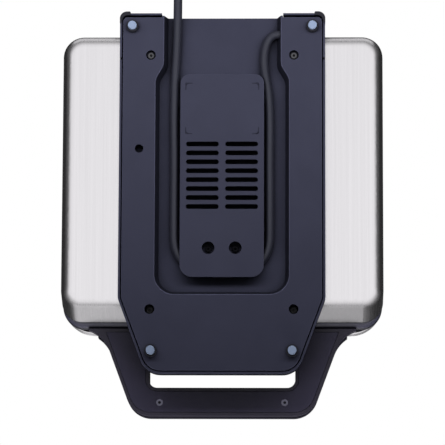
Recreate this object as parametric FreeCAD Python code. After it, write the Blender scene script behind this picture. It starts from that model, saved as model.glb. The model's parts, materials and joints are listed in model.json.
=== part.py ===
# Countertop snack maker with a hinged lid, modelled closed and standing on its feet.
# Millimetres. +Z is up, the handle is towards -Y and the hinge towards +Y.
# The origin is on the surface it stands on, under the middle of the body without its cord.
import FreeCAD
import Part
import math
import os

V = FreeCAD.Vector
os.makedirs("parts", exist_ok=True)

# Overall sizes
overall_depth = 325.2
body_width = 259.6
foot_height = 7.5
pod_height = 12.5
base_shell_height = 24.0
base_rim_height = 10.0
seam_gap = 0.8
lid_rim_height = 3.4
lid_shell_height = 45.4

# Clearances, one overrun for every cut and the round of moulded edges
overrun = 5.0
panel_gap = 0.25
seam_width = 0.9
fit_gap = 0.3
screw_gap = 0.05
running_gap = 0.05
edge_round = 0.5

# Steps along the depth, from the rear forwards
bumper_proud = 1.35
column_overhang = 15.65
handle_reach = 66.4
base_rim_setback = 4.7
lid_rim_setback = 3.2
base_shell_setback = 5.2
front_wall_run = 11.8

# Sheet metal shells
sheet = 0.8
shell_front_corner = 16.5
shell_rear_corner = 17.0
shell_bottom_round = 9.5
shell_opening_half_width = 46.0
shell_opening_length = 115.0
shell_opening_corner = 10.0
lid_side_draft = 3.0
lid_front_draft = 8.7
lid_rear_draft = 3.4
lid_front_corner = 26.0
lid_top_round = 12.0
lid_lip_round = 3.0
lid_lip_width = 4.2

# Rims that frame the cooking plates
rim_inset = 0.7
rim_wall = 3.0
rim_front_corner = 18.0
lid_rim_front_corner = 24.0
rim_edge_round = 4.0
plate_side_margin = 11.0
plate_front_margin = 12.0
plate_rear_margin = 11.0
plate_corner = 18.0
plate_flange = 3.2
plate_ledge = 4.0
ledge_thickness = 2.4
plate_screw_half_spacing = 30.0
plate_screw_grip = 1.6

# Cooking plates with two by two pockets, each split by a diagonal ridge
pocket_columns = 2
pocket_rows = 2
pocket_rim = 8.0
pocket_divider = 9.0
pocket_draft = 5.0
pocket_corner = 10.0
pocket_wall = 2.4
lower_pocket_depth = 13.5
upper_pocket_depth = 11.5
ridge_height = 6.0
ridge_half_width = 3.2
bead_inset = 2.6
bead_width = 1.4
bead_height = 0.4

# Underside pod
pod_half_width = 82.9
pod_setback = 30.7
pod_nose_length = 60.4
pod_taper = 20.5
pod_rear_corner = 6.0
pod_bend_round = 12.0
pod_front_corner = 17.0
pod_wall = 1.7
pod_rear_seam = 1.8
pod_lip_step = 0.4
deck = 1.5
deck_ledge = 9.0
cover_thickness = 2.0
side_slit_run = 37.5
side_slit_width = 1.8
side_slit_height = 4.0

# Cord channel in the underside cover
channel_depth = 10.7
channel_skin = 1.6
channel_half_width = 53.9
channel_mouth_half_width = 47.2
channel_mouth_length = 43.0
channel_step_length = 11.0
channel_setback = 63.8
channel_draft = 3.0
channel_front_corner = 16.0
channel_step_round = 12.0
tray_rear_inset = 2.2

# Cord-wrap plate, and the hollow boss that it is screwed to
wrap_half_width = 33.7
wrap_rear_run = 50.4
wrap_setback = 13.9
wrap_rear_corner = 7.5
wrap_front_corner = 10.0
wrap_thickness = 2.0
boss_side_inset = 0.7
boss_front_inset = 8.2
boss_rear_inset = 16.0
boss_corner = 22.0
boss_wall = 2.0
slot_rows = 8
slot_pitch_share = 0.04405
slot_height = 3.9
slot_inner = 2.6
slot_outer = 28.9
slot_rear_share = 0.3471
vent_slot_height = 2.4
vent_slot_share = 0.73
wrap_hole_radius = 5.1
wrap_hole_half_spacing = 10.85
wrap_hole_front_share = 0.142
wrap_well_wall = 1.2
wrap_well_depth = 7.5
louvre_depth = 9.0
louvre_wall = 1.4
mark_half_spacing = 29.3
mark_rear_run = 7.5
mark_front_run = 48.8
mark_arm = 2.6
mark_width = 0.7
mark_depth = 0.35

# Screws
screw_radius = 1.5
screw_head_radius = 2.6
screw_head_height = 1.8
screw_socket_radius = 1.1
screw_socket_depth = 0.9
web = 1.5
post_radius = 4.0

# Screw holes and a plain hole in the underside cover
cover_hole_radius = 3.9
cover_well_wall = 1.4
rear_hole_share = 0.261
rear_hole_run = 34.7
rear_well_depth = 4.2
front_hole_inset = 25.4
front_hole_run = 51.8
front_well_depth = 9.2
side_hole_radius = 3.4
side_hole_depth = 8.0
side_hole_share = 0.409
side_hole_run = 111.4

# Feet
foot_cup_radius = 4.9
foot_cup_height = 4.6
foot_pocket_depth = 2.6
foot_stud_radius = 1.6
foot_pad_radius = 3.5
foot_pad_round = 0.6
rear_foot_inset = 10.2
rear_foot_run = 11.3
front_foot_inset = 26.6
front_foot_run = 18.3

# Corner bumpers that it stands on when it is stored upright
bumper_width = 8.5
bumper_side_proud = 0.2
bumper_side_run = 7.8
bumper_corner = 5.8
bumper_inner_corner = 1.0

# Rear hinge housing
housing_half_width = 79.0
housing_top_drop = 5.5
housing_wall = 2.0
housing_round = 4.0

# Hinge
hinge_reach = 6.9
hinge_rise = 0.7
hinge_x = 60.0
knuckle_half_length = 8.0
knuckle_radius = 6.0
lug_length = 6.0
lug_radius = 6.2
hinge_pin_radius = 3.0
hinge_pin_head_radius = 4.4
hinge_pin_head_height = 1.6
arm_thickness = 2.8

# Handles
handle_root_x = 97.8
handle_taper = 20.35
handle_flare = 27.0
handle_flare_reach = 20.5
handle_corner = 20.0
lower_root_spread = 10.2
upper_root_spread = 3.2
lower_handle_setback = 0.7
lower_handle_height = 10.6
upper_handle_height = 11.5
handle_wall = 4.0
handle_roof = 2.2
grip_half_width = 58.9
grip_front_bar = 23.2
grip_rear_bar = 17.0
grip_corner = 6.5
handle_cover_inset = 2.6
handle_cover_thickness = 1.6
handle_cap_inset = 1.6
handle_cap_height = 4.2
handle_cap_round = 2.5
handle_screw_x = 50.4
handle_screw_run = 11.3
handle_screw_sink = 1.0
handle_screw_head_radius = 2.8
handle_screw_grip = 6.0
cap_screw_grip = 2.0

# Latch behind the finger gap
latch_half_width = 11.0
latch_pivot_run = 8.0
latch_pivot_rise = 8.2
latch_eye_radius = 3.4
latch_pin_radius = 1.5
latch_arm_thickness = 2.6
latch_arm_offset = 1.5
latch_hook_drop = 3.2
latch_hook_height = 3.0
latch_hook_reach = 4.6
latch_tab_reach = 2.4
latch_tab_height = 2.0
latch_lug_thickness = 3.0

# Heaters, reflectors and what controls them
heater_radius = 3.2
heater_side_inset = 26.8
heater_front_inset = 44.7
heater_corner = 22.0
heater_tail_x = 18.0
heater_tail_length = 18.0
heater_tail_round = 9.0
heater_gap = 0.15
reflector_side_inset = 22.0
reflector_front_inset = 12.0
reflector_rear_inset = 40.0
reflector_corner = 12.0
reflector_sheet = 0.6
reflector_lip = 5.0
reflector_hole_radius = 4.0
thermostat_radius = 8.0
thermostat_height = 9.0
thermostat_x = 30.0
sensor_share = 0.484
fuse_radius = 2.6
fuse_length = 24.0
fuse_x = 34.0
wire_radius = 1.3
wire_bend = 3.0
wire_spacing = 4.1

# Steel brackets that tie the base shell to its rim
bracket_sheet = 1.2
bracket_width = 14.0
bracket_screw_inset = 14.9
bracket_foot_margin = 8.0
bracket_flange = 6.0
bracket_front_run = 42.0
bracket_rear_run = 50.0
bracket_screw_grip = 5.0

# Terminal block, cord clip and the port for the wires
terminal_length = 30.0
terminal_depth = 14.0
terminal_height = 10.0
terminal_x = 56.0
terminal_run = 26.0
clip_radius = 4.1
clip_width = 8.0
clip_thickness = 0.8
clip_tab = 10.5
clip_run = 14.0
clip_screw_radius = 1.2
clip_screw_head_radius = 2.2
clip_screw_run = 7.5
port_radius = 4.0
port_inset = 12.4
port_run = 12.0

# Indicator lights on the lid
lens_radius = 4.0
lens_proud = 0.8
lens_depth = 4.0
lens_round = 0.5
lens_x = 14.0
lens_run = 34.0
lamp_radius = 2.4
lamp_length = 12.0
lamp_wire_rise = 4.0
lamp_wire_run = 6.0

# Cord and its bushing
cord_radius = 3.5
cord_depth = 6.4
cord_exit_run = 16.6
bushing_collar_radius = 4.1
bushing_collar = 0.9
bushing_neck_radius = 3.95
bushing_body_length = 8.0
cord_tail_length = 20.0
arc_share = 0.45

# Put-away coil: its turns run inwards on the floor and outwards on top of them
coil_turns = 2.25
coil_radius = 40.0
coil_pitch = 7.6
coil_layer_step = 8.2
coil_center_run = 66.4
coil_lead = 8.0
coil_rise_length = 36.0
coil_steps = 9
coil_samples = 12
floor_gap = 0.1

# Round earthed plug that lies on its side
plug_radius = 18.4
plug_face_length = 17.0
plug_shoulder_length = 14.0
plug_neck_radius = 7.5
plug_relief_length = 20.0
plug_relief_radius = 4.6
plug_flat = 0.5
plug_pin_radius = 2.4
plug_pin_length = 19.0
plug_pin_half_spacing = 9.5
plug_pin_seat = 2.0
plug_slot_depth = 3.0
plug_slot_width = 7.0

# Levels, from the surface upwards
cover_z = foot_height
base_z = cover_z + pod_height
rim_z = base_z + base_shell_height
seam_z = rim_z + base_rim_height
lid_z = seam_z + seam_gap
lid_shell_z = lid_z + lid_rim_height
lid_top_z = lid_shell_z + lid_shell_height
panel_back_z = cover_z + cover_thickness
channel_z = cover_z + channel_depth
tray_back_z = channel_z + channel_skin
deck_z = base_z - deck
cord_z = cover_z + cord_depth

# Places along the depth and across the width
half_width = body_width / 2
handle_front = -overall_depth / 2
bumper_rear = overall_depth / 2
pod_rear = bumper_rear - bumper_proud
pod_front = handle_front + pod_setback
pod_bend = pod_front + pod_nose_length
body_rear = pod_rear - column_overhang
lid_front = handle_front + handle_reach
lid_rim_front = lid_front + lid_rim_setback
rim_front = lid_front + base_rim_setback
shell_front_top = rim_front + base_shell_setback
shell_front_low = shell_front_top + front_wall_run
rim_half_width = half_width - rim_inset
rim_rear = body_rear - rim_inset
plate_half_width = half_width - plate_side_margin
plate_front = rim_front + plate_front_margin
plate_rear = rim_rear - plate_rear_margin
plate_middle = (plate_front + plate_rear) / 2
tray_rear = pod_rear - tray_rear_inset
channel_front = pod_front + channel_setback
wrap_rear = pod_rear - wrap_rear_run
wrap_front = channel_front + wrap_setback
wrap_length = wrap_rear - wrap_front
slot_pitch = wrap_length * slot_pitch_share
lower_handle_front = handle_front + lower_handle_setback
lower_root_half_width = handle_root_x + lower_root_spread
upper_root_half_width = handle_root_x + upper_root_spread
lower_handle_z = seam_z - lower_handle_height
upper_handle_top_z = lid_z + upper_handle_height
cap_top_z = upper_handle_top_z + handle_cap_height
grip_front = handle_front + grip_front_bar
grip_rear = rim_front - grip_rear_bar
hinge_y = body_rear + hinge_reach
hinge_z = lid_z + hinge_rise
housing_top_z = seam_z - housing_top_drop
latch_y = grip_rear - latch_pivot_run
latch_z = lid_z + latch_pivot_rise
ledge_z = seam_z - plate_flange
lid_ledge_z = lid_z + plate_flange
lower_plate_bottom_z = seam_z - lower_pocket_depth - pocket_wall
upper_plate_top_z = lid_z + upper_pocket_depth + pocket_wall
lower_heater_z = lower_plate_bottom_z - heater_gap - heater_radius
upper_heater_z = upper_plate_top_z + heater_gap + heater_radius
heater_half_width = plate_half_width - heater_side_inset
heater_half_depth = (plate_rear - plate_front) / 2 - heater_front_inset
sensor_y = plate_middle + heater_half_depth * sensor_share
bracket_screw_x = pod_half_width - bracket_screw_inset
bracket_z = base_z + sheet
bracket_top_z = bracket_z + bracket_sheet
cord_exit_y = pod_rear - cord_exit_run
terminal_y = body_rear - terminal_run
port_x = pod_half_width - port_inset
floor_z = cord_radius + floor_gap


def box(x0, x1, y0, y1, z0, z1):
    return Part.makeBox(x1 - x0, y1 - y0, z1 - z0, V(x0, y0, z0))


def rod(radius, start, end):
    way = end - start
    return Part.makeCylinder(radius, way.Length, start, way)


def cone(radius_a, radius_b, start, end):
    way = end - start
    return Part.makeCone(radius_a, radius_b, way.Length, start, way)


def upright(radius, x, y, z0, z1):
    return rod(radius, V(x, y, z0), V(x, y, z1))


def mirrored(shape):
    return shape.mirror(V(0, 0, 0), V(1, 0, 0))


def both_sides(shapes):
    return shapes + [mirrored(shape) for shape in shapes]


def fused(shapes):
    return shapes[0].multiFuse(shapes[1:]).removeSplitter()


def without(body, tools):
    return body.cut(Part.makeCompound(tools))


def corner_arc(before, here, after, radius):
    """Start, middle and end of the arc that rounds the corner at here."""
    back = V(before - here).normalize()
    ahead = V(after - here).normalize()
    half_turn = (math.pi - back.getAngle(ahead)) / 2
    reach = radius * math.tan(half_turn)
    inward = V(back + ahead).normalize()
    middle = here + inward * (radius / math.cos(half_turn) - radius)
    return here + back * reach, middle, here + ahead * reach


def rounded_edges(places, arcs, closed):
    """Straight edges between places, with each (start, middle, end) of arcs in place of its corner."""
    edges = []
    count = len(places)
    for i in range(count):
        if arcs[i]:
            edges.append(Part.Arc(*arcs[i]).toShape())
        if i + 1 == count and not closed:
            break
        following = (i + 1) % count
        start = arcs[i][2] if arcs[i] else places[i]
        end = arcs[following][0] if arcs[following] else places[following]
        if start.distanceToPoint(end) > Part.Vertex(start).Tolerance:
            edges.append(Part.LineSegment(start, end).toShape())
    return edges


def outline(corners, z):
    """Closed wire through (x, y, corner radius) points."""
    places = [V(x, y, z) for x, y, _ in corners]
    count = len(places)
    arcs = []
    for i, (_, _, radius) in enumerate(corners):
        arcs.append(corner_arc(places[i - 1], places[i], places[(i + 1) % count], radius) if radius else None)
    return Part.Wire(rounded_edges(places, arcs, True))


def plate(corners, z0, z1):
    return Part.Face(outline(corners, z0)).extrude(V(0, 0, z1 - z0))


def tapered(low_corners, z0, high_corners, z1):
    return Part.makeLoft([outline(low_corners, z0), outline(high_corners, z1)], True, True)


def two_sided(right_corners):
    """Full outline from the corners of its +X side, listed from rear to front."""
    left = [(-x, y, radius) for x, y, radius in reversed(right_corners)]
    return right_corners + left


def rectangle(half, front, rear, front_radius, rear_radius):
    return two_sided([(half, rear, rear_radius), (half, front, front_radius)])


def edges_at(shape, z, margin):
    """Edges that lie flat at the height z."""
    found = []
    for edge in shape.Edges:
        bounds = edge.BoundBox
        if abs(bounds.ZMin - z) < margin and abs(bounds.ZMax - z) < margin:
            found.append(edge)
    return found


def tube(edges, radius):
    """Round solid swept along a smooth path of edges."""
    wire = Part.Wire(edges)
    start = edges[0].valueAt(edges[0].FirstParameter)
    way = edges[0].tangentAt(edges[0].FirstParameter)
    ring = Part.Wire([Part.Circle(start, way, radius).toShape()])
    shell = Part.BRepOffsetAPI.MakePipeShell(wire)
    shell.add(ring)
    shell.build()
    shell.makeSolid()
    return shell.shape()


def wire_tube(places, radius, bend):
    """Tube through places with the same bend at each corner."""
    arcs = [None]
    for i in range(1, len(places) - 1):
        arcs.append(corner_arc(places[i - 1], places[i], places[i + 1], bend))
    arcs.append(None)
    return tube(rounded_edges(places, arcs, False), radius)


def pod_corners(inset, rear_inset):
    lean = math.radians(pod_taper)
    side = pod_half_width - inset
    bend = pod_bend + inset * math.tan(lean / 2)
    front = pod_front + inset
    front_x = side - (bend - front) * math.tan(lean)
    return two_sided([
        (side, pod_rear - rear_inset, pod_rear_corner - inset),
        (side, bend, pod_bend_round - inset),
        (front_x, front, pod_front_corner - inset),
    ])


def channel_corners(grow, rear):
    lean = math.atan2(channel_half_width - channel_mouth_half_width, channel_step_length)
    shift = grow * math.tan(lean / 2)
    step = pod_rear - channel_mouth_length + shift
    return two_sided([
        (channel_mouth_half_width + grow, rear, 0),
        (channel_mouth_half_width + grow, step, channel_step_round),
        (channel_half_width + grow, step - channel_step_length, channel_step_round),
        (channel_half_width + grow, channel_front - grow, channel_front_corner + grow),
    ])


def wrap_corners():
    return rectangle(wrap_half_width, wrap_front, wrap_rear, wrap_front_corner, wrap_rear_corner)


def boss_corners(inset):
    radius = boss_corner - inset
    return rectangle(wrap_half_width - boss_side_inset - inset, wrap_front + boss_front_inset + inset,
                     wrap_rear - boss_rear_inset - inset, radius, radius)


def beside(channel_x, share):
    """Place across the panel between the channel's side and the pod's side."""
    inner = channel_x + channel_skin
    return inner + share * (pod_half_width - inner)


def rear_holes():
    return beside(channel_mouth_half_width, rear_hole_share), pod_rear - rear_hole_run


def front_holes():
    return pod_half_width - front_hole_inset, pod_front + front_hole_run


def wrap_holes():
    return wrap_hole_half_spacing, wrap_front + wrap_length * wrap_hole_front_share


def foot_places():
    rear_x = pod_half_width - rear_foot_inset
    front_x = pod_half_width - front_foot_inset
    rear = [(side * rear_x, pod_rear - rear_foot_run) for side in (-1, 1)]
    front = [(side * front_x, pod_front + front_foot_run) for side in (-1, 1)]
    return rear + front


def bracket_rows():
    return rim_front + bracket_front_run, body_rear - bracket_rear_run


def screw(x, y, seat_z, end_z):
    """Screw that points up, with its head under the seat and a socket in the head."""
    head = upright(screw_head_radius, x, y, seat_z - screw_head_height, seat_z)
    shank = upright(screw_radius, x, y, seat_z, end_z)
    socket_top = seat_z - screw_head_height + screw_socket_depth
    socket = upright(screw_socket_radius, x, y, seat_z - screw_head_height - overrun, socket_top)
    return head.fuse(shank).cut(socket)


def make_pod_frame():
    lip_z = cover_z + pod_lip_step
    body = plate(pod_corners(0, 0), lip_z, base_z)
    body = body.makeFillet(edge_round, edges_at(body, lip_z, screw_gap))
    inside = plate(pod_corners(pod_wall, pod_wall), cover_z - overrun, deck_z)
    opening_half = pod_half_width - pod_wall - deck_ledge
    opening_front = channel_front - channel_skin - panel_gap
    opening_rear = pod_rear - channel_mouth_length + channel_skin
    opening = box(-opening_half, opening_half, opening_front, opening_rear, cover_z, base_z + overrun)
    mouth_half = channel_mouth_half_width + channel_skin + panel_gap
    mouth = box(-mouth_half, mouth_half, channel_front, pod_rear + overrun, cover_z, base_z + overrun)
    slit_y = pod_rear - side_slit_run
    slit = box(pod_half_width - pod_wall - panel_gap, pod_half_width + overrun, slit_y - side_slit_width / 2,
               slit_y + side_slit_width / 2, cover_z, cover_z + side_slit_height)
    port = upright(port_radius, -port_x, body_rear - port_run, deck_z - overrun, base_z + overrun)
    body = without(body, [inside, opening, mouth, port] + both_sides([slit]))
    posts = []
    bores = []
    for (x, y), depth in ((rear_holes(), rear_well_depth), (front_holes(), front_well_depth)):
        post_z = cover_z + depth + web
        posts.append(upright(post_radius, x, y, post_z, base_z))
        bores.append(upright(screw_radius + screw_gap, x, y, post_z - overrun, base_z - panel_gap))
    clip_y = cord_exit_y + clip_screw_run
    clip_x = -channel_mouth_half_width - clip_run
    bores.append(upright(clip_screw_radius + screw_gap, clip_x, clip_y, deck_z - overrun, base_z + overrun))
    return without(fused([body] + both_sides(posts)), both_sides(bores[:2]) + bores[2:])


def slots(height, shift, z0, z1):
    """The +X half of the ventilation slots, each with round ends."""
    found = []
    half = height / 2
    for row in range(slot_rows):
        middle = wrap_rear - wrap_length * slot_rear_share - row * slot_pitch + shift
        corners = [(slot_inner, middle - half, half), (slot_outer, middle - half, half),
                   (slot_outer, middle + half, half), (slot_inner, middle + half, half)]
        found.append(plate(corners, z0, z1))
    return found


def make_bottom_cover():
    panel = plate(pod_corners(pod_wall + seam_width, pod_wall + pod_rear_seam), cover_z, panel_back_z)
    panel = panel.makeFillet(edge_round, edges_at(panel, cover_z, screw_gap))
    tray = plate(channel_corners(channel_skin, tray_rear), cover_z, tray_back_z)
    far = pod_rear + overrun
    channel = tapered(channel_corners(0, far), cover_z, channel_corners(-channel_draft, far), channel_z)
    edge = tapered(channel_corners(edge_round, far), cover_z, channel_corners(0, far), cover_z + edge_round)
    boss = plate(boss_corners(0), cover_z + wrap_thickness, channel_z)
    hollow = plate(boss_corners(boss_wall), cover_z, channel_z)
    wells = []
    holes = []
    for (x, y), depth in ((rear_holes(), rear_well_depth), (front_holes(), front_well_depth)):
        seat_z = cover_z + depth
        wells.append(upright(cover_hole_radius + cover_well_wall, x, y, cover_z, seat_z + web))
        holes.append(upright(cover_hole_radius, x, y, cover_z - overrun, seat_z))
        holes.append(upright(screw_radius + screw_gap, x, y, cover_z, seat_z + web + overrun))
    pillar_x, pillar_y = wrap_holes()
    pillar_z = cover_z + wrap_well_depth + web
    pillar = upright(post_radius, pillar_x, pillar_y, pillar_z, channel_z)
    pillar_bore = upright(screw_radius + screw_gap, pillar_x, pillar_y, cover_z, tray_back_z + overrun)
    vents = slots(vent_slot_height, vent_slot_share * slot_pitch, channel_z - overrun, tray_back_z + overrun)
    studs = []
    for x, y in foot_places():
        studs.append(upright(foot_stud_radius + screw_gap, x, y, cover_z - overrun, panel_back_z + overrun))
    side_x = beside(channel_half_width, side_hole_share)
    side_y = pod_rear - side_hole_run
    side_z = cover_z + side_hole_depth
    side_cup = upright(side_hole_radius + cover_well_wall, side_x, side_y, cover_z, side_z + web)
    side_hole = upright(side_hole_radius, side_x, side_y, cover_z - overrun, side_z)
    wall = V(-channel_mouth_half_width, cord_exit_y, cord_z)
    outlet = rod(bushing_neck_radius + screw_gap, wall + V(overrun, 0, 0), wall - V(overrun, 0, 0))
    collar_seat = rod(bushing_collar_radius + screw_gap, wall + V(overrun, 0, 0), wall)
    body = without(fused([panel, tray, side_cup] + both_sides(wells)), [channel, edge])
    body = fused([body, boss.cut(hollow)] + both_sides([pillar]))
    bores = both_sides(holes + vents + [pillar_bore]) + studs
    return without(body, bores + [side_hole, outlet, collar_seat])


def make_cord_wrap_plate():
    body = plate(wrap_corners(), cover_z, cover_z + wrap_thickness)
    body = body.makeFillet(edge_round, edges_at(body, cover_z, screw_gap))
    x, y = wrap_holes()
    seat_z = cover_z + wrap_well_depth
    well = upright(wrap_hole_radius + wrap_well_wall, x, y, cover_z, seat_z + web)
    holes = [
        upright(wrap_hole_radius, x, y, cover_z - overrun, seat_z),
        upright(screw_radius + screw_gap, x, y, cover_z, seat_z + web + overrun),
    ]
    holes += slots(slot_height, 0, cover_z - overrun, cover_z + louvre_depth + overrun)
    last_row = wrap_rear - wrap_length * slot_rear_share - (slot_rows - 1) * slot_pitch
    margin = slot_height / 2 + louvre_wall
    louvre = box(slot_inner - louvre_wall, slot_outer + louvre_wall, last_row - margin,
                 last_row + (slot_rows - 1) * slot_pitch + margin, cover_z, cover_z + louvre_depth)
    for run, way in ((mark_rear_run, -1), (mark_front_run, 1)):
        mark_x = mark_half_spacing
        mark_y = wrap_rear - run
        low = min(0, way * mark_arm)
        top = cover_z + mark_depth
        holes.append(box(mark_x - mark_arm, mark_x, mark_y - mark_width / 2, mark_y + mark_width / 2,
                         cover_z - overrun, top))
        holes.append(box(mark_x - mark_width / 2, mark_x + mark_width / 2, mark_y + low,
                         mark_y + low + mark_arm, cover_z - overrun, top))
    return without(fused([body] + both_sides([well, louvre])), both_sides(holes))


def make_wrap_plate_screws():
    x, y = wrap_holes()
    return both_sides([screw(x, y, cover_z + wrap_well_depth, tray_back_z - panel_gap)])


def make_cover_screws():
    screws = []
    for (x, y), depth in ((rear_holes(), rear_well_depth), (front_holes(), front_well_depth)):
        screws.append(screw(x, y, cover_z + depth, base_z - 2 * panel_gap))
    return both_sides(screws)


def make_foot_cups():
    cups = []
    low_z = cover_z - foot_cup_height
    for x, y in foot_places():
        cup = upright(foot_cup_radius, x, y, low_z, cover_z)
        stud = upright(foot_stud_radius, x, y, cover_z, panel_back_z)
        pocket = upright(foot_pad_radius + screw_gap, x, y, low_z - overrun, low_z + foot_pocket_depth)
        cups.append(cup.fuse(stud).cut(pocket))
    return cups


def make_foot_pads():
    pads = []
    top_z = cover_z - foot_cup_height + foot_pocket_depth
    for x, y in foot_places():
        pad = upright(foot_pad_radius, x, y, 0, top_z)
        pads.append(pad.makeFillet(foot_pad_round, edges_at(pad, 0, screw_gap)))
    return pads


def make_corner_bumpers():
    inner_x = pod_half_width - bumper_width
    outer_x = pod_half_width + bumper_side_proud
    front = pod_rear - bumper_side_run
    corners = [(inner_x, front, 0), (outer_x, front, 0), (outer_x, bumper_rear, bumper_corner),
               (inner_x, bumper_rear, bumper_inner_corner)]
    block = plate(corners, cover_z, base_z)
    pod = plate(pod_corners(0, 0), cover_z + pod_lip_step, base_z + overrun)
    panel = plate(pod_corners(pod_wall, pod_wall), cover_z - overrun, base_z)
    return both_sides([without(block, [pod, panel])])


def hinge_lugs():
    lugs = []
    for way in (-1, 1):
        near = hinge_x + way * (knuckle_half_length + fit_gap)
        far = near + way * lug_length
        low, high = min(near, far), max(near, far)
        stem = box(low, high, hinge_y - lug_radius, hinge_y + lug_radius, housing_top_z - housing_wall,
                   hinge_z)
        lugs.append(stem.fuse(rod(lug_radius, V(low, hinge_y, hinge_z), V(high, hinge_y, hinge_z))))
    return lugs


def make_rear_housing():
    corners = [(-housing_half_width, body_rear, 0), (housing_half_width, body_rear, 0),
               (housing_half_width, tray_rear, housing_round),
               (-housing_half_width, tray_rear, housing_round)]
    body = plate(corners, base_z, housing_top_z)
    inner_half = housing_half_width - housing_wall
    hollow = box(-inner_half, inner_half, body_rear + housing_wall, tray_rear - housing_wall,
                 base_z - overrun, housing_top_z - housing_wall)
    bore = rod(hinge_pin_radius + screw_gap, V(-half_width, hinge_y, hinge_z),
               V(half_width, hinge_y, hinge_z))
    return fused([body.cut(hollow)] + both_sides(hinge_lugs())).cut(bore)


def make_hinge_pins():
    inner = hinge_x - knuckle_half_length - fit_gap - lug_length
    outer = hinge_x + knuckle_half_length + fit_gap + lug_length
    pin = rod(hinge_pin_radius, V(inner, hinge_y, hinge_z), V(outer, hinge_y, hinge_z))
    head = rod(hinge_pin_head_radius, V(outer, hinge_y, hinge_z),
               V(outer + hinge_pin_head_height, hinge_y, hinge_z))
    return both_sides([pin.fuse(head)])


def shell_body(inset, z0, z1):
    """Base shell volume: upright sides and rear, and a front wall that leans forwards as it rises."""
    half = half_width - inset
    low = rectangle(half, shell_front_low + inset, body_rear - inset, shell_front_corner - inset,
                    shell_rear_corner - inset)
    high = rectangle(half, shell_front_top + inset, body_rear - inset, shell_front_corner - inset,
                     shell_rear_corner - inset)
    body = tapered(low, z0, high, z1)
    return body.makeFillet(shell_bottom_round - inset, edges_at(body, z0, screw_gap))


def make_base_shell():
    body = shell_body(0, base_z, rim_z).cut(shell_body(sheet, base_z + sheet, rim_z))
    opening_rear = pod_rear - channel_mouth_length - channel_step_length
    opening = rectangle(shell_opening_half_width, opening_rear - shell_opening_length, opening_rear,
                        shell_opening_corner, shell_opening_corner)
    holes = [plate(opening, base_z - overrun, base_z + overrun)]
    holes.append(upright(port_radius, -port_x, body_rear - port_run, base_z - overrun, base_z + overrun))
    for y in bracket_rows():
        holes += both_sides([upright(screw_radius + screw_gap, bracket_screw_x, y, base_z - overrun,
                                     base_z + overrun)])
    return without(body, holes)


def make_base_brackets():
    outer = half_width - shell_bottom_round - fit_gap
    brackets = []
    flange_z = ledge_z - ledge_thickness
    for y in bracket_rows():
        low, high = y - bracket_width / 2, y + bracket_width / 2
        foot = box(bracket_screw_x - bracket_foot_margin, outer, low, high, bracket_z, bracket_top_z)
        riser = box(outer - bracket_sheet, outer, low, high, bracket_z, flange_z)
        flange = box(outer - bracket_flange, outer, low, high, flange_z - bracket_sheet, flange_z)
        bore = upright(screw_radius + screw_gap, bracket_screw_x, y, base_z, rim_z)
        brackets.append(fused([foot, riser, flange]).cut(bore))
    return both_sides(brackets)


def make_base_screws():
    rows = bracket_rows()
    return both_sides([screw(bracket_screw_x, y, base_z, base_z + bracket_screw_grip) for y in rows])


def rim_corners(front, front_corner):
    return rectangle(rim_half_width, front, rim_rear, front_corner, shell_rear_corner)


def plate_corners(inset):
    return rectangle(plate_half_width - inset, plate_front + inset, plate_rear - inset, plate_corner - inset,
                     plate_corner - inset)


def plate_screw_places():
    x = plate_half_width - plate_ledge / 2
    return [(x, plate_middle + way * plate_screw_half_spacing) for way in (-1, 1)]


def make_base_rim():
    body = plate(rim_corners(rim_front, rim_front_corner), rim_z, seam_z)
    body = body.makeFillet(rim_edge_round, edges_at(body, rim_z, screw_gap))
    cavity = rectangle(rim_half_width - rim_wall, shell_front_top + 2 * sheet, rim_rear - rim_wall,
                       shell_front_corner, shell_rear_corner - rim_wall)
    tools = [
        plate(cavity, rim_z - overrun, ledge_z - ledge_thickness),
        plate(plate_corners(plate_ledge), rim_z, seam_z + overrun),
        plate(plate_corners(-fit_gap), ledge_z, seam_z + overrun),
    ]
    for x, y in plate_screw_places():
        tools += both_sides([upright(screw_radius + screw_gap, x, y, rim_z, seam_z)])
    return without(body, tools)


def handle_x(y):
    """Half width of the handle's slanting side at y, before its flare and corner."""
    return handle_root_x - (rim_front - y) * math.tan(math.radians(handle_taper))


def handle_corners(rear, front, inset):
    shift = inset / math.cos(math.radians(handle_taper))
    return two_sided([
        (handle_x(rear) - shift, rear, 0),
        (handle_x(front + inset) - shift, front + inset, handle_corner - inset),
    ])


def flared_corners(root, front):
    """Handle outline whose sides flare into the rim at root."""
    inside = root + rim_wall
    reach = handle_x(root) + handle_flare_reach
    return two_sided([
        (reach, inside, 0),
        (reach, root, 0),
        (handle_x(root), root, handle_flare),
        (handle_x(front), front, handle_corner),
    ])


def grip_corners(grow):
    return rectangle(grip_half_width + grow, grip_front - grow, grip_rear + grow, grip_corner + grow,
                     grip_corner + grow)


def handle_screw_places():
    return handle_screw_x, handle_front + handle_screw_run


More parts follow.
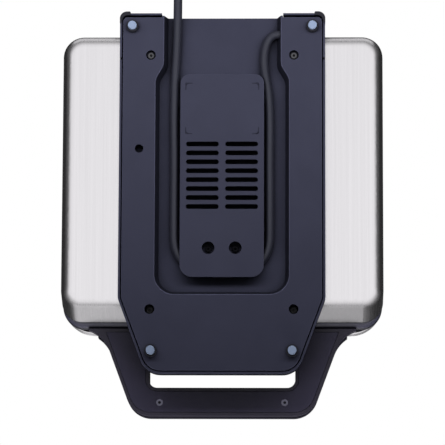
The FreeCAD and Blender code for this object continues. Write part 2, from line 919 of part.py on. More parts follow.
def make_lower_handle():
    body = plate(flared_corners(rim_front, lower_handle_front), lower_handle_z, seam_z)
    body = body.common(box(-lower_root_half_width, lower_root_half_width, handle_front, rim_front + rim_wall,
                           lower_handle_z, seam_z))
    rim = plate(rim_corners(rim_front, rim_front_corner), lower_handle_z - overrun, seam_z + overrun)
    body = body.cut(rim)
    recess_z = lower_handle_z + handle_cover_thickness
    rear = rim_front - handle_cover_inset
    recess = plate(handle_corners(rear, lower_handle_front, handle_cover_inset), lower_handle_z - overrun,
                   recess_z)
    recess = recess.cut(plate(grip_corners(handle_cover_inset), lower_handle_z - overrun, recess_z))
    hollow = plate(handle_corners(rim_front - handle_wall, lower_handle_front, handle_wall), recess_z,
                   seam_z - handle_roof)
    hollow = hollow.cut(plate(grip_corners(handle_wall), recess_z, seam_z))
    x, y = handle_screw_places()
    post = upright(post_radius, x, y, recess_z, seam_z - handle_roof)
    bore = upright(screw_radius + screw_gap, x, y, lower_handle_z, recess_z + handle_screw_grip)
    grip = plate(grip_corners(0), lower_handle_z - overrun, seam_z + overrun)
    body = without(body, [recess, hollow, grip])
    return without(fused([body] + both_sides([post])), both_sides([bore]))


def make_handle_underside_cover():
    inset = handle_cover_inset + fit_gap
    top_z = lower_handle_z + handle_cover_thickness
    rear = rim_front - inset
    body = plate(handle_corners(rear, lower_handle_front, inset), lower_handle_z, top_z)
    grip = plate(grip_corners(inset), lower_handle_z - overrun, top_z + overrun)
    x, y = handle_screw_places()
    sink = upright(handle_screw_head_radius + screw_gap, x, y, lower_handle_z - overrun,
                   lower_handle_z + handle_screw_sink)
    bore = upright(screw_radius + screw_gap, x, y, lower_handle_z, top_z + overrun)
    return without(body, [grip] + both_sides([sink, bore]))


def sunk_screw(x, y, face_z, end_z):
    """Screw whose flat head is flush with a face that looks down."""
    head = upright(handle_screw_head_radius, x, y, face_z, face_z + handle_screw_sink)
    shank = upright(screw_radius, x, y, face_z, end_z)
    socket = upright(screw_socket_radius, x, y, face_z - overrun, face_z + screw_socket_depth)
    return head.fuse(shank).cut(socket)


def make_handle_screws():
    x, y = handle_screw_places()
    end_z = lower_handle_z + handle_cover_thickness + handle_screw_grip - panel_gap
    return both_sides([sunk_screw(x, y, lower_handle_z, end_z)])


def pocket_places():
    """Centres and half sizes of the pockets of a cooking plate."""
    width = 2 * (plate_half_width - pocket_rim)
    depth = plate_rear - plate_front - 2 * pocket_rim
    half_x = (width - (pocket_columns - 1) * pocket_divider) / pocket_columns / 2
    half_y = (depth - (pocket_rows - 1) * pocket_divider) / pocket_rows / 2
    places = []
    for column in range(pocket_columns):
        for row in range(pocket_rows):
            x = (column - (pocket_columns - 1) / 2) * (2 * half_x + pocket_divider)
            y = plate_middle + (row - (pocket_rows - 1) / 2) * (2 * half_y + pocket_divider)
            places.append((x, y))
    return places, half_x, half_y


def pocket_body(x, y, half_x, half_y, mouth_z, floor_z_level, grow):
    """Pocket volume that narrows from its mouth to its floor."""
    sections = []
    for z, draft in ((mouth_z, 0), (floor_z_level, pocket_draft)):
        in_x = half_x + grow - draft
        in_y = half_y + grow - draft
        radius = pocket_corner + grow
        corners = [(x - in_x, y - in_y, radius), (x + in_x, y - in_y, radius),
                   (x + in_x, y + in_y, radius), (x - in_x, y + in_y, radius)]
        sections.append(outline(corners, z))
    return Part.makeLoft(sections, True, True)


def pocket_ridge(x, y, half_x, half_y, floor_level, way):
    """Diagonal ridge across a pocket, its crest towards the other plate."""
    slant = 1 if x * (y - plate_middle) > 0 else -1
    along = V(half_x, slant * half_y, 0)
    across = V(-along.y, along.x, 0).normalize() * ridge_half_width
    start = V(x, y, floor_level) - along
    crest = V(0, 0, way * ridge_height)
    section = Part.Face(Part.makePolygon([start - across, start + across, start + crest, start - across]))
    return section.extrude(along * 2)


def make_plate(face_z, way, depth):
    """Cooking plate whose pockets run from its face towards way."""
    flange_z = face_z + way * plate_flange
    low, high = min(face_z, flange_z), max(face_z, flange_z)
    floor_level = face_z + way * depth
    back_z = floor_level + way * pocket_wall
    places, half_x, half_y = pocket_places()
    bodies = [plate(plate_corners(0), low, high)]
    cavities = []
    ridges = []
    for x, y in places:
        bodies.append(pocket_body(x, y, half_x, half_y, face_z, back_z, pocket_wall))
        cavity = pocket_body(x, y, half_x, half_y, face_z, floor_level, 0)
        cavities.append(cavity)
        ridges.append(pocket_ridge(x, y, half_x, half_y, floor_level, -way).common(cavity))
    body = fused([without(fused(bodies), cavities)] + ridges)
    bores = []
    inner_z = face_z + way * plate_screw_grip
    outer_z = flange_z + way * overrun
    for x, y in plate_screw_places():
        bores += both_sides([upright(screw_radius + screw_gap, x, y, min(inner_z, outer_z),
                                     max(inner_z, outer_z))])
    return without(body, bores)


def make_lower_plate():
    body = make_plate(seam_z, -1, lower_pocket_depth)
    bead = plate(plate_corners(bead_inset), seam_z, seam_z + bead_height)
    hollow = plate(plate_corners(bead_inset + bead_width), seam_z - overrun, seam_z + overrun)
    return fused([body, bead.cut(hollow)])


def make_upper_plate():
    return make_plate(lid_z, 1, upper_pocket_depth)


def make_lower_plate_screws():
    seat_z = ledge_z - ledge_thickness
    end_z = seam_z - plate_screw_grip - panel_gap
    return both_sides([screw(x, y, seat_z, end_z) for x, y in plate_screw_places()])


def make_upper_plate_screws():
    seat_z = lid_ledge_z + ledge_thickness
    end_z = lid_z + plate_screw_grip + panel_gap
    screws = []
    for x, y in plate_screw_places():
        head = upright(screw_head_radius, x, y, seat_z, seat_z + screw_head_height)
        shank = upright(screw_radius, x, y, end_z, seat_z)
        screws.append(head.fuse(shank))
    return both_sides(screws)


def make_heater(z):
    front = plate_middle - heater_half_depth
    rear = plate_middle + heater_half_depth
    right = [V(heater_half_width, front, z), V(heater_half_width, rear, z), V(heater_tail_x, rear, z),
             V(heater_tail_x, rear + heater_tail_length, z)]
    left = [V(-place.x, place.y, z) for place in reversed(right)]
    places = left + right
    bends = [heater_tail_round, heater_corner, heater_corner]
    radii = bends + list(reversed(bends))
    arcs = [None]
    for i in range(1, len(places) - 1):
        arcs.append(corner_arc(places[i - 1], places[i], places[i + 1], radii[i - 1]))
    arcs.append(None)
    return tube(rounded_edges(places, arcs, False), heater_radius)


def reflector_corners(inset):
    radius = reflector_corner - inset
    return rectangle(half_width - reflector_side_inset - inset,
                     shell_front_low + reflector_front_inset + inset,
                     body_rear - reflector_rear_inset - inset, radius, radius)


def make_reflector(face_z, way):
    """Pan with a lip towards way."""
    far_z = face_z + way * (reflector_sheet + reflector_lip)
    inner_z = face_z + way * reflector_sheet
    body = plate(reflector_corners(0), min(face_z, far_z), max(face_z, far_z))
    hollow = plate(reflector_corners(reflector_sheet), min(inner_z, far_z + way * overrun),
                   max(inner_z, far_z + way * overrun))
    return body.cut(hollow)


def make_lower_reflector():
    holes = []
    for y in bracket_rows():
        holes += both_sides([upright(reflector_hole_radius, bracket_screw_x, y, base_z, rim_z)])
    return without(make_reflector(bracket_top_z, 1), holes)


def make_upper_reflector():
    seat_z = upper_heater_z + heater_radius + heater_gap
    return make_reflector(seat_z, 1)


def make_thermostat():
    top_z = lower_plate_bottom_z - heater_gap
    return upright(thermostat_radius, thermostat_x, sensor_y, top_z - thermostat_height, top_z)


def make_thermal_fuse():
    z = lower_plate_bottom_z - heater_gap - fuse_radius
    return rod(fuse_radius, V(-fuse_x, sensor_y - fuse_length / 2, z),
               V(-fuse_x, sensor_y + fuse_length / 2, z))


def make_terminal_block():
    return box(-terminal_x - terminal_length / 2, -terminal_x + terminal_length / 2,
               terminal_y - terminal_depth / 2, terminal_y + terminal_depth / 2,
               bracket_z, bracket_z + terminal_height)


def make_lower_wiring():
    """Two leads from the terminal block to the heater, and the cord's core that comes up to the block."""
    tail_y = plate_middle + heater_half_depth + heater_tail_length
    block_z = bracket_z + terminal_height
    leads = []
    for side in (-1, 1):
        start_x = -terminal_x - side * wire_spacing
        y = terminal_y + side * wire_spacing
        leads.append(wire_tube([V(start_x, y, block_z), V(start_x, y, lower_heater_z),
                                V(side * heater_tail_x, y, lower_heater_z),
                                V(side * heater_tail_x, tail_y, lower_heater_z)], wire_radius,
                               wire_radius + screw_gap))
    tail_x = -channel_mouth_half_width - cord_tail_length
    port_y = body_rear - port_run
    rise_z = bracket_z + terminal_height / 2
    block_rear = terminal_y + terminal_depth / 2
    leads.append(wire_tube([V(tail_x, cord_exit_y, cord_z), V(-port_x, cord_exit_y, cord_z),
                            V(-port_x, port_y, cord_z), V(-port_x, port_y, rise_z),
                            V(-port_x, block_rear, rise_z)], wire_radius,
                           wire_radius + screw_gap))
    return leads


def make_upper_wiring():
    tail_y = plate_middle + heater_half_depth + heater_tail_length
    lamp_y = lid_front + lens_run
    lamp_z = lid_top_z - lens_depth - lamp_length
    path = [V(heater_tail_x, tail_y, upper_heater_z),
            V(heater_tail_x, tail_y + lamp_wire_run, upper_heater_z),
            V(heater_tail_x, tail_y + lamp_wire_run, lamp_z - lamp_wire_rise),
            V(lens_x, lamp_y, lamp_z - lamp_wire_rise), V(lens_x, lamp_y, lamp_z)]
    return both_sides([wire_tube(path, wire_radius, wire_bend)])


def make_cord_bushing():
    wall_x = -channel_mouth_half_width
    back_x = wall_x - channel_skin
    y, z = cord_exit_y, cord_z
    collar = rod(bushing_collar_radius, V(wall_x, y, z), V(wall_x + bushing_collar, y, z))
    neck = rod(bushing_neck_radius, V(back_x, y, z), V(wall_x, y, z))
    body = rod(bushing_collar_radius, V(back_x - bushing_body_length, y, z), V(back_x, y, z))
    bore = rod(cord_radius + screw_gap, V(back_x - bushing_body_length - overrun, y, z),
               V(wall_x + overrun, y, z))
    return fused([collar, neck, body]).cut(bore)


def make_cord_tail():
    wall_x = -channel_mouth_half_width
    return rod(cord_radius, V(wall_x, cord_exit_y, cord_z), V(wall_x - cord_tail_length, cord_exit_y, cord_z))


def make_cord_clip():
    middle = -channel_mouth_half_width - clip_run
    low, high = middle - clip_width / 2, middle + clip_width / 2
    ring = rod(clip_radius, V(low, cord_exit_y, cord_z), V(high, cord_exit_y, cord_z))
    tab = box(low, high, cord_exit_y, cord_exit_y + clip_tab, deck_z - clip_thickness, deck_z)
    bore = rod(cord_radius + screw_gap, V(low - overrun, cord_exit_y, cord_z),
               V(high + overrun, cord_exit_y, cord_z))
    hole = upright(clip_screw_radius + screw_gap, middle, cord_exit_y + clip_screw_run, cover_z, base_z)
    return without(ring.fuse(tab), [bore, hole])


def make_cord_clip_screw():
    x = -channel_mouth_half_width - clip_run
    y = cord_exit_y + clip_screw_run
    seat_z = deck_z - clip_thickness
    head = upright(clip_screw_head_radius, x, y, seat_z - screw_head_height, seat_z)
    return head.fuse(upright(clip_screw_radius, x, y, seat_z, base_z - panel_gap))


def lid_body(inset, z0, z1):
    """Lid volume: leaning walls, a rolled lower lip and a generously rounded top."""
    low = rectangle(half_width - inset, lid_front + inset, body_rear - inset, lid_front_corner - inset,
                    shell_rear_corner - inset)
    high = rectangle(half_width - lid_side_draft - inset, lid_front + lid_front_draft + inset,
                     body_rear - lid_rear_draft - inset, lid_front_corner - inset, shell_rear_corner - inset)
    body = tapered(low, z0, high, z1)
    body = body.makeFillet(lid_top_round - inset, edges_at(body, z1, screw_gap))
    return body.makeFillet(lid_lip_round - inset, edges_at(body, z0, screw_gap))


def lens_y():
    return lid_front + lens_run


def make_lid_shell():
    body = lid_body(0, lid_shell_z, lid_top_z).cut(lid_body(sheet, lid_shell_z + sheet, lid_top_z - sheet))
    mouth = rectangle(half_width - lid_lip_width, lid_front + lid_lip_width, body_rear - lid_lip_width,
                      lid_front_corner - lid_lip_width, shell_rear_corner - lid_lip_width)
    notch_half = upper_root_half_width + fit_gap
    notch = box(-notch_half, notch_half, handle_front, lid_rim_front + fit_gap, lid_shell_z - overrun,
                cap_top_z + fit_gap)
    lens_hole = upright(lens_radius + screw_gap, lens_x, lens_y(), lid_top_z - overrun, lid_top_z + overrun)
    return without(body, [plate(mouth, lid_shell_z - overrun, lid_shell_z + sheet + screw_gap), notch]
                   + both_sides([lens_hole]))


def make_lid_rim():
    body = plate(rim_corners(lid_rim_front, lid_rim_front_corner), lid_z, lid_shell_z)
    inset = lid_lip_width + fit_gap
    inner = rectangle(half_width - inset, lid_front + inset, body_rear - inset, lid_front_corner - inset,
                      shell_rear_corner - inset)
    upper = plate(inner, lid_shell_z, lid_ledge_z + ledge_thickness)
    tools = [
        plate(plate_corners(plate_ledge), lid_z - overrun, lid_top_z),
        plate(plate_corners(-fit_gap), lid_z - overrun, lid_ledge_z),
    ]
    for x, y in plate_screw_places():
        tools += both_sides([upright(screw_radius + screw_gap, x, y, lid_z, lid_shell_z + overrun)])
    return without(fused([body, upper]), tools)


def make_lid_hinge_arms():
    low, high = hinge_x - knuckle_half_length, hinge_x + knuckle_half_length
    arm = box(low, high, rim_rear, hinge_y, lid_z, lid_z + arm_thickness)
    knuckle = rod(knuckle_radius, V(low, hinge_y, hinge_z), V(high, hinge_y, hinge_z))
    bore = rod(hinge_pin_radius + running_gap, V(low - overrun, hinge_y, hinge_z),
               V(high + overrun, hinge_y, hinge_z))
    return both_sides([arm.fuse(knuckle).cut(bore)])


def make_upper_handle():
    body = plate(flared_corners(lid_rim_front, handle_front), lid_z, upper_handle_top_z)
    body = body.common(box(-upper_root_half_width, upper_root_half_width, handle_front, lid_rim_front,
                           lid_z, upper_handle_top_z))
    hollow_z = lid_z + handle_roof
    hollow = plate(handle_corners(lid_rim_front - handle_wall, handle_front, handle_wall), hollow_z,
                   upper_handle_top_z + overrun)
    hollow = hollow.cut(plate(grip_corners(handle_wall), hollow_z, upper_handle_top_z + overrun))
    grip = plate(grip_corners(0), lid_z - overrun, upper_handle_top_z + overrun)
    body = without(body, [hollow, grip])
    x, y = handle_screw_places()
    post = upright(post_radius, x, y, lid_z, upper_handle_top_z)
    sink = upright(handle_screw_head_radius + screw_gap, x, y, lid_z - overrun, lid_z + handle_screw_sink)
    bore = upright(screw_radius + screw_gap, x, y, lid_z, upper_handle_top_z + overrun)
    near = latch_half_width + fit_gap
    lug = box(near, near + latch_lug_thickness, latch_y, grip_rear, latch_z - latch_eye_radius,
              upper_handle_top_z)
    near_end = V(near, latch_y, latch_z)
    lug = lug.fuse(rod(latch_eye_radius, near_end, near_end + V(latch_lug_thickness, 0, 0)))
    pin_bore = rod(latch_pin_radius + screw_gap, V(-half_width, latch_y, latch_z),
                   V(half_width, latch_y, latch_z))
    body = fused([body] + both_sides([post, lug]))
    return without(body, both_sides([sink, bore]) + [pin_bore])


def make_upper_handle_cap():
    rear = lid_rim_front
    body = plate(handle_corners(rear, handle_front, handle_cap_inset), upper_handle_top_z, cap_top_z)
    body = body.cut(plate(grip_corners(handle_cap_inset), upper_handle_top_z - overrun, cap_top_z + overrun))
    rim = [edge for edge in edges_at(body, cap_top_z, screw_gap) if edge.BoundBox.YMin < rear - overrun]
    body = body.makeFillet(handle_cap_round, rim)
    x, y = handle_screw_places()
    bore_end_z = upper_handle_top_z + cap_screw_grip
    bore = upright(screw_radius + screw_gap, x, y, upper_handle_top_z - overrun, bore_end_z)
    return without(body, both_sides([bore]))


def make_upper_handle_screws():
    x, y = handle_screw_places()
    return both_sides([sunk_screw(x, y, lid_z, upper_handle_top_z + cap_screw_grip - panel_gap)])


def make_latch_clip():
    back_y = latch_y + latch_arm_offset
    front_y = back_y - latch_arm_thickness
    hook_top = lower_handle_z - latch_hook_drop
    hook_low = hook_top - latch_hook_height
    eye = rod(latch_eye_radius, V(-latch_half_width, latch_y, latch_z),
              V(latch_half_width, latch_y, latch_z))
    arm = box(-latch_half_width, latch_half_width, front_y, back_y, hook_low, latch_z)
    hook = box(-latch_half_width, latch_half_width, front_y, back_y + latch_hook_reach, hook_low, hook_top)
    tab = box(-latch_half_width, latch_half_width, front_y - latch_tab_reach, front_y, hook_low,
              hook_low + latch_tab_height)
    bore = rod(latch_pin_radius + running_gap, V(-half_width, latch_y, latch_z),
               V(half_width, latch_y, latch_z))
    return fused([eye, arm, hook, tab]).cut(bore)


def make_latch_pin():
    reach = latch_half_width + fit_gap + latch_lug_thickness
    return rod(latch_pin_radius, V(-reach, latch_y, latch_z), V(reach, latch_y, latch_z))


def make_lens(side):
    lens = upright(lens_radius, side * lens_x, lens_y(), lid_top_z - lens_depth, lid_top_z + lens_proud)
    return lens.makeFillet(lens_round, edges_at(lens, lid_top_z + lens_proud, screw_gap))


def make_indicator_lamps():
    top = lid_top_z - lens_depth
    return both_sides([upright(lamp_radius, lens_x, lens_y(), top - lamp_length, top)])


# The cord's way from its bushing, round the boss and out to the coil, chosen by hand
coil_center_x = -4.0
coil_start_x = coil_center_x + coil_radius
coil_start_y = bumper_rear + coil_center_run
cord_route = [
    V(-channel_mouth_half_width, cord_exit_y, cord_z),
    V(-42.2, cord_exit_y, cord_z),
    V(-37.1, 140.8, cord_z),
    V(-34.2, 133.1, cord_z),
    V(-33.3, 122.0, cord_z),
    V(-34.7, 109.5, cord_z),
    V(-37.4, 96.5, cord_z),
    V(-38.4, 72.5, cord_z),
    V(-38.1, 38.5, cord_z),
    V(-38.4, 8.5, cord_z),
    V(-38.2, -50.7, cord_z),
    V(38.2, -50.7, cord_z),
    V(38.4, 8.5, cord_z),
    V(38.2, 40.5, cord_z),
    V(38.9, 74.5, cord_z),
    V(38.5, 104.5, cord_z),
    V(37.2, 128.5, cord_z),
    V(36.5, 148.5, 13.2),
    V(36.1, 168.5, 8.6),
    V(36.0, 190.5, floor_z),
    V(coil_start_x, coil_start_y - coil_lead, floor_z),
]


def cord_edges(places):
    """Straight runs joined by tangent arcs, each arc as large as its two runs allow."""
    arcs = [None]
    radii = []
    for i in range(1, len(places) - 1):
        before, here, after = places[i - 1], places[i], places[i + 1]
        shorter = min(before.distanceToPoint(here), here.distanceToPoint(after))
        half_turn = (math.pi - V(before - here).getAngle(after - here)) / 2
        radius = arc_share * shorter / math.tan(half_turn)
        radii.append(radius)
        arcs.append(corner_arc(before, here, after, radius))
    arcs.append(None)
    return rounded_edges(places, arcs, False), radii


def make_cord_run():
    edges, radii = cord_edges(cord_route)
    length = sum(edge.Length for edge in edges)
    body = tube(edges, cord_radius)
    section = math.pi * cord_radius ** 2
    print("cord run length %.1f, radii %s" % (length, " ".join("%.0f" % radius for radius in radii)))
    print("cord run volume over section times length %.5f" % (body.Volume / (section * length)))
    return body


def biarc_edges(start, start_way, end, end_way):
    """Two arcs that leave start along start_way and reach end along end_way."""
    span = end - start
    square = 2 * (1 - start_way.dot(end_way))
    linear = 2 * span.dot(start_way + end_way)
    constant = -span.dot(span)
    reach = -2 * constant / (linear + math.sqrt(linear ** 2 - 4 * square * constant))
    first = start + start_way * reach
    second = end - end_way * reach
    joint = (first + second) * 0.5
    edges = []
    for low, corner, high in ((start, first, joint), (joint, second, end)):
        chord = high - low
        middle = (low + high) * 0.5
        height = corner.distanceToPoint(middle)
        turn = math.atan2(height, chord.Length / 2)
        bulge = chord.Length / 2 * math.tan(turn / 2)
        edges.append(Part.Arc(low, middle + V(corner - middle).normalize() * bulge, high).toShape())
    return edges


def coil_place(angle):
    """Point of the coil: inwards on the floor, then up a layer and outwards."""
    last = coil_turns * math.tau
    turnover = last / 2
    inward = min(angle, last - angle)
    radius = coil_radius - coil_pitch * inward / math.tau
    share = min(1, max(0, (angle - turnover) / math.pi + 0.5))
    climb = share * share * (3 - 2 * share)
    return V(coil_center_x + radius * math.cos(angle), coil_start_y + radius * math.sin(angle),
             floor_z + coil_layer_step * climb)


def coil_way(angle):
    step = math.tau / coil_samples ** 3
    return V(coil_place(angle + step) - coil_place(angle - step)).normalize()


def coil_knots():
    """Points and directions, a quarter turn apart, from the lead-in to the plug."""
    ahead = V(0, 1, 0)
    away = V(-1, 0, 0)
    knots = [(coil_place(0), ahead)]
    for step in range(1, coil_steps):
        angle = coil_turns * math.tau * step / coil_steps
        knots.append((coil_place(angle), coil_way(angle)))
    last = coil_place(coil_turns * math.tau)
    knots.append((last, away))
    knots.append((V(last.x - coil_rise_length, last.y, plug_radius), away))
    return knots


def coil_edges():
    knots = coil_knots()
    lead = V(0, coil_lead, 0)
    tail = V(-coil_lead, 0, 0)
    edges = [Part.LineSegment(knots[0][0] - lead, knots[0][0]).toShape()]
    for (start, start_way), (end, end_way) in zip(knots, knots[1:]):
        edges += biarc_edges(start, start_way, end, end_way)
    edges.append(Part.LineSegment(knots[-1][0], knots[-1][0] + tail).toShape())
    return edges


def least_gap(edges):
    """Least distance between the coil's surface and itself, more than a quarter turn apart."""
    places = []
    for edge in edges:
        places += edge.discretize(coil_samples)
    far = math.pi * coil_radius / 2
    walked = [0]
    for before, here in zip(places, places[1:]):
        walked.append(walked[-1] + before.distanceToPoint(here))
    least = far
    for i, here in enumerate(places):
        for j in range(i + 1, len(places)):
            if walked[j] - walked[i] > far:
                least = min(least, here.distanceToPoint(places[j]) - 2 * cord_radius)
    return least


def make_cord_coil():
    edges = coil_edges()
    length = sum(edge.Length for edge in edges)
    body = tube(edges, cord_radius)
    section = math.pi * cord_radius ** 2
    print("coil length %.1f, least gap to itself %.2f" % (length, least_gap(edges)))
    print("coil volume over section times length %.5f" % (body.Volume / (section * length)))
    return body


def plug_start():
    place, _ = coil_knots()[-1]
    return V(place.x - coil_lead, place.y, place.z)


def make_plug_body():
    start = plug_start()
    relief_end = start - V(plug_relief_length, 0, 0)
    shoulder_end = relief_end - V(plug_shoulder_length, 0, 0)
    face = shoulder_end - V(plug_face_length, 0, 0)
    relief = cone(plug_relief_radius, plug_neck_radius, start, relief_end)
    shoulder = cone(plug_neck_radius, plug_radius, relief_end, shoulder_end)
    barrel = rod(plug_radius, shoulder_end, face)
    grips = []
    for way in (-1, 1):
        edge = start.y + way * plug_radius
        depth = edge - way * plug_slot_depth
        grips.append(box(face.x - overrun, face.x + plug_face_length / 2, min(depth, edge + way * overrun),
                         max(depth, edge + way * overrun), start.z - plug_slot_width / 2,
                         start.z + plug_slot_width / 2))
    low = box(face.x - overrun, start.x + overrun, start.y - plug_radius, start.y + plug_radius,
              -overrun, plug_flat)
    body = without(fused([relief, shoulder, barrel]), grips + [low])
    bores = []
    for way in (-1, 1):
        y = start.y + way * plug_pin_half_spacing
        bores.append(rod(plug_pin_radius + screw_gap, V(face.x - overrun, y, start.z),
                         V(face.x + plug_pin_seat, y, start.z)))
    return without(body, bores)


def make_plug_pins():
    start = plug_start()
    face_x = start.x - plug_relief_length - plug_shoulder_length - plug_face_length
    pins = []
    for way in (-1, 1):
        y = start.y + way * plug_pin_half_spacing
        seat = V(face_x + plug_pin_seat, y, start.z)
        tip = V(face_x - plug_pin_length + plug_pin_radius, y, start.z)
        pins.append(rod(plug_pin_radius, seat, tip).fuse(Part.makeSphere(plug_pin_radius, tip)))
    return pins


parts = {
    "pod_frame": make_pod_frame,
    "bottom_cover": make_bottom_cover,
    "cord_wrap_plate": make_cord_wrap_plate,
    "wrap_plate_screws": make_wrap_plate_screws,
    "cover_screws": make_cover_screws,
    "foot_cups": make_foot_cups,
    "foot_pads": make_foot_pads,
    "corner_bumpers": make_corner_bumpers,
    "rear_housing": make_rear_housing,
    "hinge_pins": make_hinge_pins,
    "base_shell": make_base_shell,
    "base_brackets": make_base_brackets,
    "base_screws": make_base_screws,
    "base_rim": make_base_rim,
    "lower_handle": make_lower_handle,
    "handle_underside_cover": make_handle_underside_cover,
    "handle_screws": make_handle_screws,
    "lower_plate": make_lower_plate,
    "lower_plate_screws": make_lower_plate_screws,
    "lower_heater": lambda: make_heater(lower_heater_z),
    "lower_reflector": make_lower_reflector,
    "thermostat": make_thermostat,
    "thermal_fuse": make_thermal_fuse,
    "terminal_block": make_terminal_block,
    "lower_wiring": make_lower_wiring,
    "cord_bushing": make_cord_bushing,
    "cord_tail": make_cord_tail,
    "cord_clip": make_cord_clip,
    "cord_clip_screw": make_cord_clip_screw,
    "cord_run": make_cord_run,
    "cord_coil": make_cord_coil,
    "plug_body": make_plug_body,
    "plug_pins": make_plug_pins,
    "lid_shell": make_lid_shell,
    "lid_rim": make_lid_rim,
    "lid_hinge_arms": make_lid_hinge_arms,
    "upper_handle": make_upper_handle,
    "upper_handle_cap": make_upper_handle_cap,
    "upper_handle_screws": make_upper_handle_screws,
    "upper_plate": make_upper_plate,
    "upper_plate_screws": make_upper_plate_screws,
    "upper_heater": lambda: make_heater(upper_heater_z),
    "upper_reflector": make_upper_reflector,
    "upper_wiring": make_upper_wiring,
    "power_lens": lambda: make_lens(-1),
    "ready_lens": lambda: make_lens(1),
    "indicator_lamps": make_indicator_lamps,
    "latch_clip": make_latch_clip,
    "latch_pin": make_latch_pin,
}

for name, make in parts.items():
    made = make()
    shape = Part.makeCompound(made) if isinstance(made, list) else made
    shape.exportStep("parts/%s.step" % name)
    print("%-24s solids %d  volume %10.1f  valid %s"
          % (name, len(shape.Solids), shape.Volume, shape.isValid()))
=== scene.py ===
# Looks of the snack maker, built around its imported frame: finishes, screw recesses, corner marks, cord,
# stage, light and camera. Metres. +Z is up, the handle is towards -Y and the hinge towards +Y.
import json
import math

import bmesh
import bpy
from mathutils import Matrix, Vector


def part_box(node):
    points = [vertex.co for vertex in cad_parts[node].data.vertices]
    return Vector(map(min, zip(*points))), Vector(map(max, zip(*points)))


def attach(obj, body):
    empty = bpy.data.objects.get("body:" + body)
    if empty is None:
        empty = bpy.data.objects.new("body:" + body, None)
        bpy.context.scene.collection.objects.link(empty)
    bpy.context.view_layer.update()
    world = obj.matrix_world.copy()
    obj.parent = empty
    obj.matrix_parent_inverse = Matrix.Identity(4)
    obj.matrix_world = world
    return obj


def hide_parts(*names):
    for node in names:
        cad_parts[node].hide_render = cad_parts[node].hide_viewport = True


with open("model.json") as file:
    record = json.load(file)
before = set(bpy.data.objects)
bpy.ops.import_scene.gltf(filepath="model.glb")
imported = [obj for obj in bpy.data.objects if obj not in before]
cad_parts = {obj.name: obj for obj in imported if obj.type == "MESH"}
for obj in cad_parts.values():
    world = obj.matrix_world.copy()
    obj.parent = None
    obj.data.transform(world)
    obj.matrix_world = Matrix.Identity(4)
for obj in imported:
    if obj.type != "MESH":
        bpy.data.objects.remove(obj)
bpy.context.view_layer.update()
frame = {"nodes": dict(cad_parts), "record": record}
nodes = frame["nodes"]

MM = 0.001

# Camera: it looks up at the underside, tilted towards the handle
VIEW_TILT = math.radians(8.9)
VIEW_SIDE = math.radians(1.25)
VIEW_ROLL = math.radians(0.02)
VIEW_DISTANCE = 2.436
VIEW_TARGET = Vector((-0.0006, -0.0103, 0.0075))
VIEW_LENS = 246.3
VIEW_SENSOR = 36.0
VIEW_NEAR = 0.1
VIEW_FAR = 50.0

# Light: the world's strength by the height of the direction, from -1 straight down to 1 straight up,
# as gloss reflects it and as it fills matt surfaces, and what the camera sees behind the object
GLOSS_LEVELS = ((-1.0, 1.23), (-0.9, 1.16), (-0.77, 0.8), (-0.64, 0.35), (-0.5, 0.14), (-0.2, 0.09),
                (-0.05, 0.04), (0.3, 0.03), (1.0, 0.04))
FILL_LEVELS = ((-1.0, 0.02), (-0.5, 0.02), (0.0, 0.08), (0.5, 0.4), (1.0, 0.7))
WORLD_PEAK = 1.3
BACKDROP = 1.0

# Lid lights: four upright walls of light around the lid and a ceiling above it
LID_LIGHT_REACH = 2.2
LID_WALL_HEIGHT = 0.3
LID_WALL_SIZE = (4.5, 3.0)
LID_WALL_POWER = 12.0
LID_CEILING_SIZE = (3.6, 3.6)
LID_CEILING_POWER = 26.0

# Share of a light's direction along X from which its width lies along Y
SIDEWAYS = 0.9

# Floor: a square sheet just under the feet
FLOOR_HALF_SIZE = 6.0
FLOOR_DROP = 0.3 * MM
FLOOR_ROUGHNESS = 0.9

# Textures: samples of the edge and corner nodes, and the part of a noise's range that carries its look
EDGE_SAMPLES = 6
CORNER_SAMPLES = 8
NOISE_LOW = 0.3
NOISE_HIGH = 0.7
COLOR_SPREAD = 0.12

# Moulded plastic: levelness of walls with painted shade and of tilted edges with a painted highlight, depth
# of its grain and the painted shade in its grooves
WALL_SHADE_LEVELS = (0.4, 0.6)
EDGE_HIGHLIGHT_LEVELS = (0.9, 0.97)
GRAIN_DEPTH = 0.05 * MM
PAINTED_GROOVE_SHADE = 0.25

# Brushed steel: noise across and along its lines and streaks, their shades, and the painted shade on its
# walls near a rim. The walls shade as if they sloped more than they do
LINE_ACROSS = 2400.0
LINE_ALONG = 12.0
LINE_SHADES = (0.94, 1.04)
STREAK_ACROSS = 520.0
STREAK_ALONG = 5.0
STREAK_SHARES = (0.72, 1.0)
STREAK_SHADE = 0.8
SHEET_LEVELS = (0.6, 0.8)
RIM_REACH = 12 * MM
RIM_OPENNESS = (0.55, 0.9)
RIM_PAINTED_SHADE = 0.3
WALL_ROUGHNESS = 0.12
WALL_LEAN = 1.1

# Plain metal: its spots, and how closed it is deep in a pit and in a narrow ring, where painted shade
# darkens it
SPOT_SCALE = 700.0
PIT_OPENNESS = (0.25, 0.6)
RING_OPENNESS = (0.6, 0.9)
HOLE_PAINTED_SHADE = 0.08

# Woven sleeve: scale and slant of its two sets of threads
THREAD_SCALE = 420.0
THREAD_SLANT = 0.8


def rgb(red, green, blue):
    """Linear colour of an sRGB one written as 0 to 255."""
    shares = [value / 255 for value in (red, green, blue)]
    linear = [s / 12.92 if s <= 0.04045 else ((s + 0.055) / 1.055) ** 2.4 for s in shares]
    return (*linear, 1.0)


def shade(color, factor):
    return (*[min(1.0, value * factor) for value in color[:3]], 1.0)


def add_node(tree, kind, **settings):
    node = tree.nodes.new(kind)
    for key, value in settings.items():
        setattr(node, key, value)
    return node


finishes = {}


